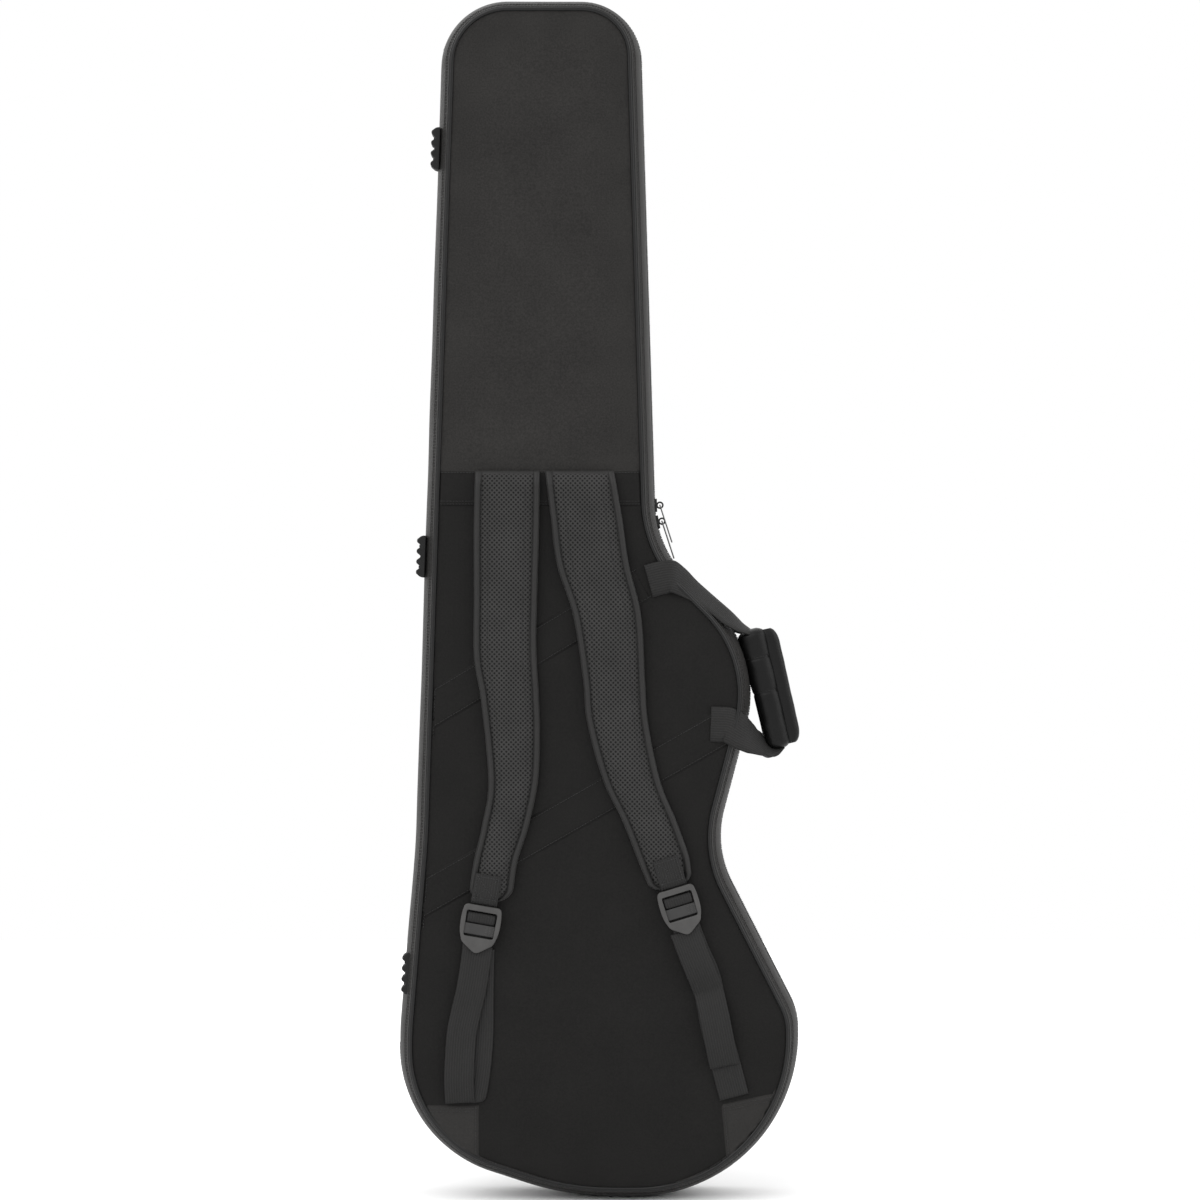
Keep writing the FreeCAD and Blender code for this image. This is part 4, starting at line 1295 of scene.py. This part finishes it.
handleLoops = {
    "handleWebbing": {"face": bag["backFace"], "spot": 0, "sewnAt": -0.0594,
                      "bodies": ("case_back", "carry_handle"), "node": "handle_webbing_back"},
    "frontHandle": {"face": bag["frontFace"], "spot": 17.5, "sewnAt": 0.0554,
                    "bodies": ("lid", "front_handle"), "node": "handle_webbing_front"},
}
# how the front loop's middle turns flat against the wrap: height, and direction of width
middleTurns = ((64.5, (-0.1, 1, -0.1)), (53, (-0.7, 0.7, 0.1)), (38, (-1, 0.05, 0.2)), (-38, (-1, 0.05, 0.2)),
               (-53, (-0.7, 0.7, 0.1)), (-64.5, (-0.1, 1, -0.1)))


def buildHandleWebbing(label):
    loop = handleLoops[label]
    thick, cloth, y = handle["webThick"], finishes["webbing"], loop["sewnAt"]
    # the legs' widths, as shares, narrow towards the wrap
    upperWidths = ([0, 0.3, 0.5, 0.75, 1], [0.95, 0.92, 0.86, 0.72, 0.55])
    lowerWidths = ([0, 0.2, 0.5, 0.8, 1], [0.5, 0.7, 1.0, 1.0, 1])
    upperRun, lowerRun = handleRuns(loop["face"], loop["spot"])
    upper = strap(label + "Upper", upperRun, handle["webbing"], thick, cloth, 80, widths=upperWidths)
    lower = strap(label + "Lower", lowerRun, handle["webbing"], thick, cloth, 80, widths=lowerWidths)
    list(loop["bodies"])
    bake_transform(upper)
    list(loop["bodies"])
    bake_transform(lower)
    if loop["spot"]:
        stations = [(*gripSpot(-1, loop["spot"], z), *lean) for z, lean in middleTurns]
        place(strap(label + "Middle", stations, 20, thick, cloth, 60), loop["bodies"][1], "webbing")
    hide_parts(loop["node"])


buildGrip()
buildFlap()
for label in handleLoops:
    buildHandleWebbing(label)
print("handle made")

# feet, sliders, blocks: shapes that come from the frame


def softCopy(name, node, body, slotName, material, edge, segments=3, angle=40):
    # a copy of a frame node with its own finish and rounded edges
    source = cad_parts[node]
    mesh = source.data.copy()
    work = bmesh.new()
    work.from_mesh(mesh)
    bmesh.ops.remove_doubles(work, verts=work.verts, dist=0.00002)
    bmesh.ops.dissolve_limit(work, angle_limit=math.radians(3), verts=work.verts, edges=work.edges)
    bmesh.ops.recalc_face_normals(work, faces=work.faces)
    work.to_mesh(mesh)
    work.free()
    mesh.materials.clear()
    mesh.materials.append(material)
    mesh.shade_smooth()
    mesh.set_sharp_from_angle(angle=math.radians(angle))
    piece = bpy.data.objects.new(name, mesh)
    bpy.context.scene.collection.objects.link(piece)
    if edge:
        rim = piece.modifiers.new("rounded edges", "BEVEL")
        rim.width, rim.segments, rim.limit_method = edge * mm, segments, "ANGLE"
        rim.angle_limit = math.radians(angle)
    return place(piece, body, slotName, node)


feet = {"tips": {"Top": (-176.6, 1103), "Middle": (-191.8, 674.5), "Bottom": (-207.4, 236.7)}, "long": 44.0,
        "span": (-43.5, -16.5), "teeth": 4, "deep": 4.2, "stand": 8.5, "lean": 2.04, "edge": 0.7}


def buildFoot(label):
    # moulded foot with a row of pointed ribs along its outer side
    x, z = feet["tips"][label]
    long, deep, stand = feet["long"], feet["deep"], feet["stand"]
    step = long / feet["teeth"]
    side = [(-stand - 1, -long / 2), (-stand + 1.6, -long / 2)]
    for k in range(feet["teeth"]):
        low = -long / 2 + k * step
        side += [(-deep, low + 0.8), (-0.6, low + step * 0.34), (0, low + step * 0.5),
                 (-0.6, low + step * 0.66), (-deep, low + step - 0.8)]
    side += [(-stand + 1.6, long / 2), (-stand - 1, long / 2)]
    turn = Matrix.Rotation(math.radians(feet["lean"]), 4, "Y")
    near, far = feet["span"]
    rows = []
    for y in (near, near + 1.2, (near + far) / 2, far - 1.2, far):
        shrink, short = (0.9, 0.97) if y in (near, far) else (1.0, 1)
        row = []
        for out, up in side:
            spot = turn @ Vector((-(out * shrink - stand * (1 - shrink)), 0, up * short))
            row.append((x + spot.x, y, z + spot.z))
        rows.append(row)
    foot = gridPiece("sideFoot" + label, rows, finishes["footRubber"], wrapCols=True, caps=True,
                     uvAt=lambda i, j: (j * 2 * mm, i * 5 * mm))
    foot.data.set_sharp_from_angle(angle=math.radians(35))
    rim = foot.modifiers.new("rounded edges", "BEVEL")
    rim.width, rim.segments, rim.limit_method = feet["edge"] * mm, 2, "ANGLE"
    rim.angle_limit = math.radians(35)
    place(foot, "case_back", "foot_rubber", "foot_" + label.lower())


for label in feet["tips"]:
    buildFoot(label)
softCopy("footRivets", "foot_rivets", "case_back", "rivet_steel", finishes["blackMetal"], 0.3, 2)
for name, node in (("neckCradle", "neck_cradle"), ("heelPad", "heel_pad")):
    cushion = softCopy(name, node, "case_back", "foam", finishes["plushBlock"], 6.0, 6)


def buildZipperHead(tags, nodes, bodies):
    # a slider and its wire pull
    softCopy(tags[0], nodes[0], bodies[0], "pull_metal", finishes["blackMetal"], 0.25, 2)
    softCopy(tags[1], nodes[1], bodies[1], "pull_metal", finishes["wireMetal"], 0)


for label in ("upper", "lower"):
    buildZipperHead(("mainSlider" + label.title(), "mainPull" + label.title()),
                    ("main_slider_" + label, "main_pull_" + label), ("slider_" + label, "pull_" + label))
for label in ("large", "small"):
    buildZipperHead(("pocketSlider" + label.title(), "pocketPull" + label.title()),
                    ("front_pocket_%s_slider" % label, "front_pocket_%s_pull" % label),
                    ("pocket_slider_" + label, "pocket_pull_" + label))

# front pockets

pockets = {
    "large": {"low": (-150, 80), "high": (105, 330), "deep": 10.0},
    "small": {"low": (-128, 760), "high": (8, 1010), "deep": 9.0},
    "radius": 24,
    "faceInset": 2.6,
    "seamInset": 5,
    "mouthDown": 26.0,    # from the pocket's top to its zipper
    "mouthInset": 15,
    # a lip's section: distance below the zipper, and height over the cloth
    "lip": [(-9, -0.1), (-8.6, 0.6), (-4.2, 0.75), (-3.6, 0.5), (-3.2, -0.1)],
    "lipSeam": 7.2,
    "teethAt": 1.1,
}


def buildPocket(label):
    look, tag = pockets[label], label.title()
    (x0, z0), (x1, z1), deep = look["low"], look["high"], look["deep"]
    face, r = bag["frontFace"], pockets["radius"]
    top, mouth = face + deep, z1 - pockets["mouthDown"]
    path = tracePath([(x0, z1, r, 1), (x1, z1, r, 1), (x1, z0, r, 1), (x0, z0, r, 1)], 2.5)
    profile = [(1.5, face - 0.3), (1.2, face + 0.8), (0.4, face + deep * 0.5), (0.2, top - 2.2),
               (-1.0, top - 0.8), (-2.8, top - 0.2)]
    rim = sweepRing("pocketWall" + tag, path, lambda x, z, run: profile, finishes["gussetCloth"])
    faceOutOf(rim, ((x0 + x1) / 2 * mm, (face + 2) * mm, (z0 + z1) / 2 * mm))
    place(skin(rim, 0.8), "lid", "panel_nylon", "front_pocket_" + label)
    edges = sideTables(path, -pockets["faceInset"])

    def rise(x, z):
        # the cloth swells from its edge and dips along the zipper
        left, right = edgesAt(z, edges)
        room = max(0.0, min(x - left, right - x, z - z0 - 2, z1 - 2 - z))
        swell = 0.9 * (1 - math.exp(-room / 14))
        slack = 0.35 * wander(x, z, 40, 6.0) * smoothStep(0, 20, room)
        dip = 0.7 * math.exp(-((z - mouth) / 5.5) ** 2) * smoothStep(8, 14, room)
        return top - 0.2 + swell + slack - dip
    cloth = fillPanel("pocketFace" + tag, path, -pockets["faceInset"], rise, 3.0, finishes["lidCloth"])
    faceTowards(cloth, (0, 1, 0))
    place(skin(cloth, 0.8), "lid", "panel_nylon")
    welt = sweepRing("pocketPiping" + tag, path, tube(1.3, -1.2, top + 0.2, 8), finishes["vinyl"],
                     wrapCols=True)
    place(welt, "lid", "piping_vinyl")
    left, right = x0 + pockets["mouthInset"], x1 - pockets["mouthInset"]
    low = [[(x, rise(x, mouth + s) + h, mouth + s) for s, h in pockets["lip"]]
           for x in np.linspace(left, right, 60)]
    high = [[(x, y, 2 * mouth - z) for x, y, z in row] for row in low]
    for end, strip in (("Low", low), ("High", high)):
        lip = gridPiece("pocketLip" + end + tag, strip, finishes["binding"],
                        uvAt=lambda i, j, s=strip: (s[i][j][2] * mm, s[i][j][0] * mm))
        faceTowards(lip, (0, 1, 0))
        place(skin(lip, 0.7), "lid", "panel_nylon")
    across = np.linspace(left, right, 90)
    apart = pockets["teethAt"]
    lines = [[(x, rise(x, mouth) + 0.35, mouth + s) for x in across] for s in (-apart, apart)]
    teeth = alongLines("pocketTeeth" + tag, lines, "tooth", (0, 0, 1), finishes["coilResin"])
    place(teeth, "lid", "zipper_plastic", "front_pocket_%s_zipper" % label)
    inset = pockets["seamInset"]
    ring = [(x - nx * inset, z - nz * inset) for x, z, nx, nz, _ in path + path[:1]]
    seams = [[(x, rise(x, z) + 0.3, z) for x, z in ring]]
    for s in (-pockets["lipSeam"], pockets["lipSeam"]):
        seams.append([(x, rise(x, mouth + s) + 0.85, mouth + s) for x in across])
    sew("pocketStitches" + tag, seams, "lid", (0, 1, 0))


buildPocket("large")
buildPocket("small")
print("pockets made")

# floor, light and camera

studio = {
    "floor": (0.9, 0.9, 0.9),
    "reach": 3.0,
    "camera": (0.001, -4.057, 0.6286),
    "lens": 114.8,
    "world": 1.0,
    # strength, softness in degrees, and where each light comes from
    "key": (1.5, 60, (-2.2, -2.4, 2.6)),
    "side": (1.0, 50, (2.8, -1.0, 1.6)),
    "back": (0.8, 60, (-1.5, 2.5, 2.0)),
}


def buildStudio():
    mesh = bpy.data.meshes.new("studioFloor")
    reach = studio["reach"]
    corners = [(-reach, -reach, 0), (reach, -reach, 0), (reach, reach, 0), (-reach, reach, 0)]
    mesh.from_pydata(corners, [], [(0, 1, 2, 3)])
    floor = bpy.data.objects.new("studioFloor", mesh)
    bpy.context.scene.collection.objects.link(floor)
    material, tree, shader = nodeMaterial("paleFloor")
    shader.inputs["Base Color"].default_value = (*studio["floor"], 1)
    shader.inputs["Roughness"].default_value = 0.9
    mesh.materials.append(material)
    world = bpy.data.worlds.new("plainStudio")
    world.use_nodes = True
    world.node_tree.nodes["Background"].inputs[0].default_value = (1, 1, 1, 1)
    world.node_tree.nodes["Background"].inputs[1].default_value = studio["world"]
    bpy.context.scene.world = world
    for label in ("key", "side", "back"):
        power, spread, spot = studio[label]
        lamp = bpy.data.lights.new(label + "Light", "SUN")
        lamp.energy, lamp.angle = power, math.radians(spread)
        holder = bpy.data.objects.new(label + "Light", lamp)
        holder.location = spot
        holder.rotation_euler = Vector(spot).to_track_quat("Z", "Y").to_euler()
        bpy.context.scene.collection.objects.link(holder)
    eye = bpy.data.cameras.new("frontCamera")
    eye.lens, eye.sensor_width = studio["lens"], 36
    eye.clip_end = 60
    holder = bpy.data.objects.new("frontCamera", eye)
    holder.location = studio["camera"]
    holder.rotation_euler = (math.radians(90), 0, 0)
    bpy.context.scene.collection.objects.link(holder)
    bpy.context.scene.camera = holder
    bpy.context.scene.view_settings.view_transform = "Standard"


buildStudio()
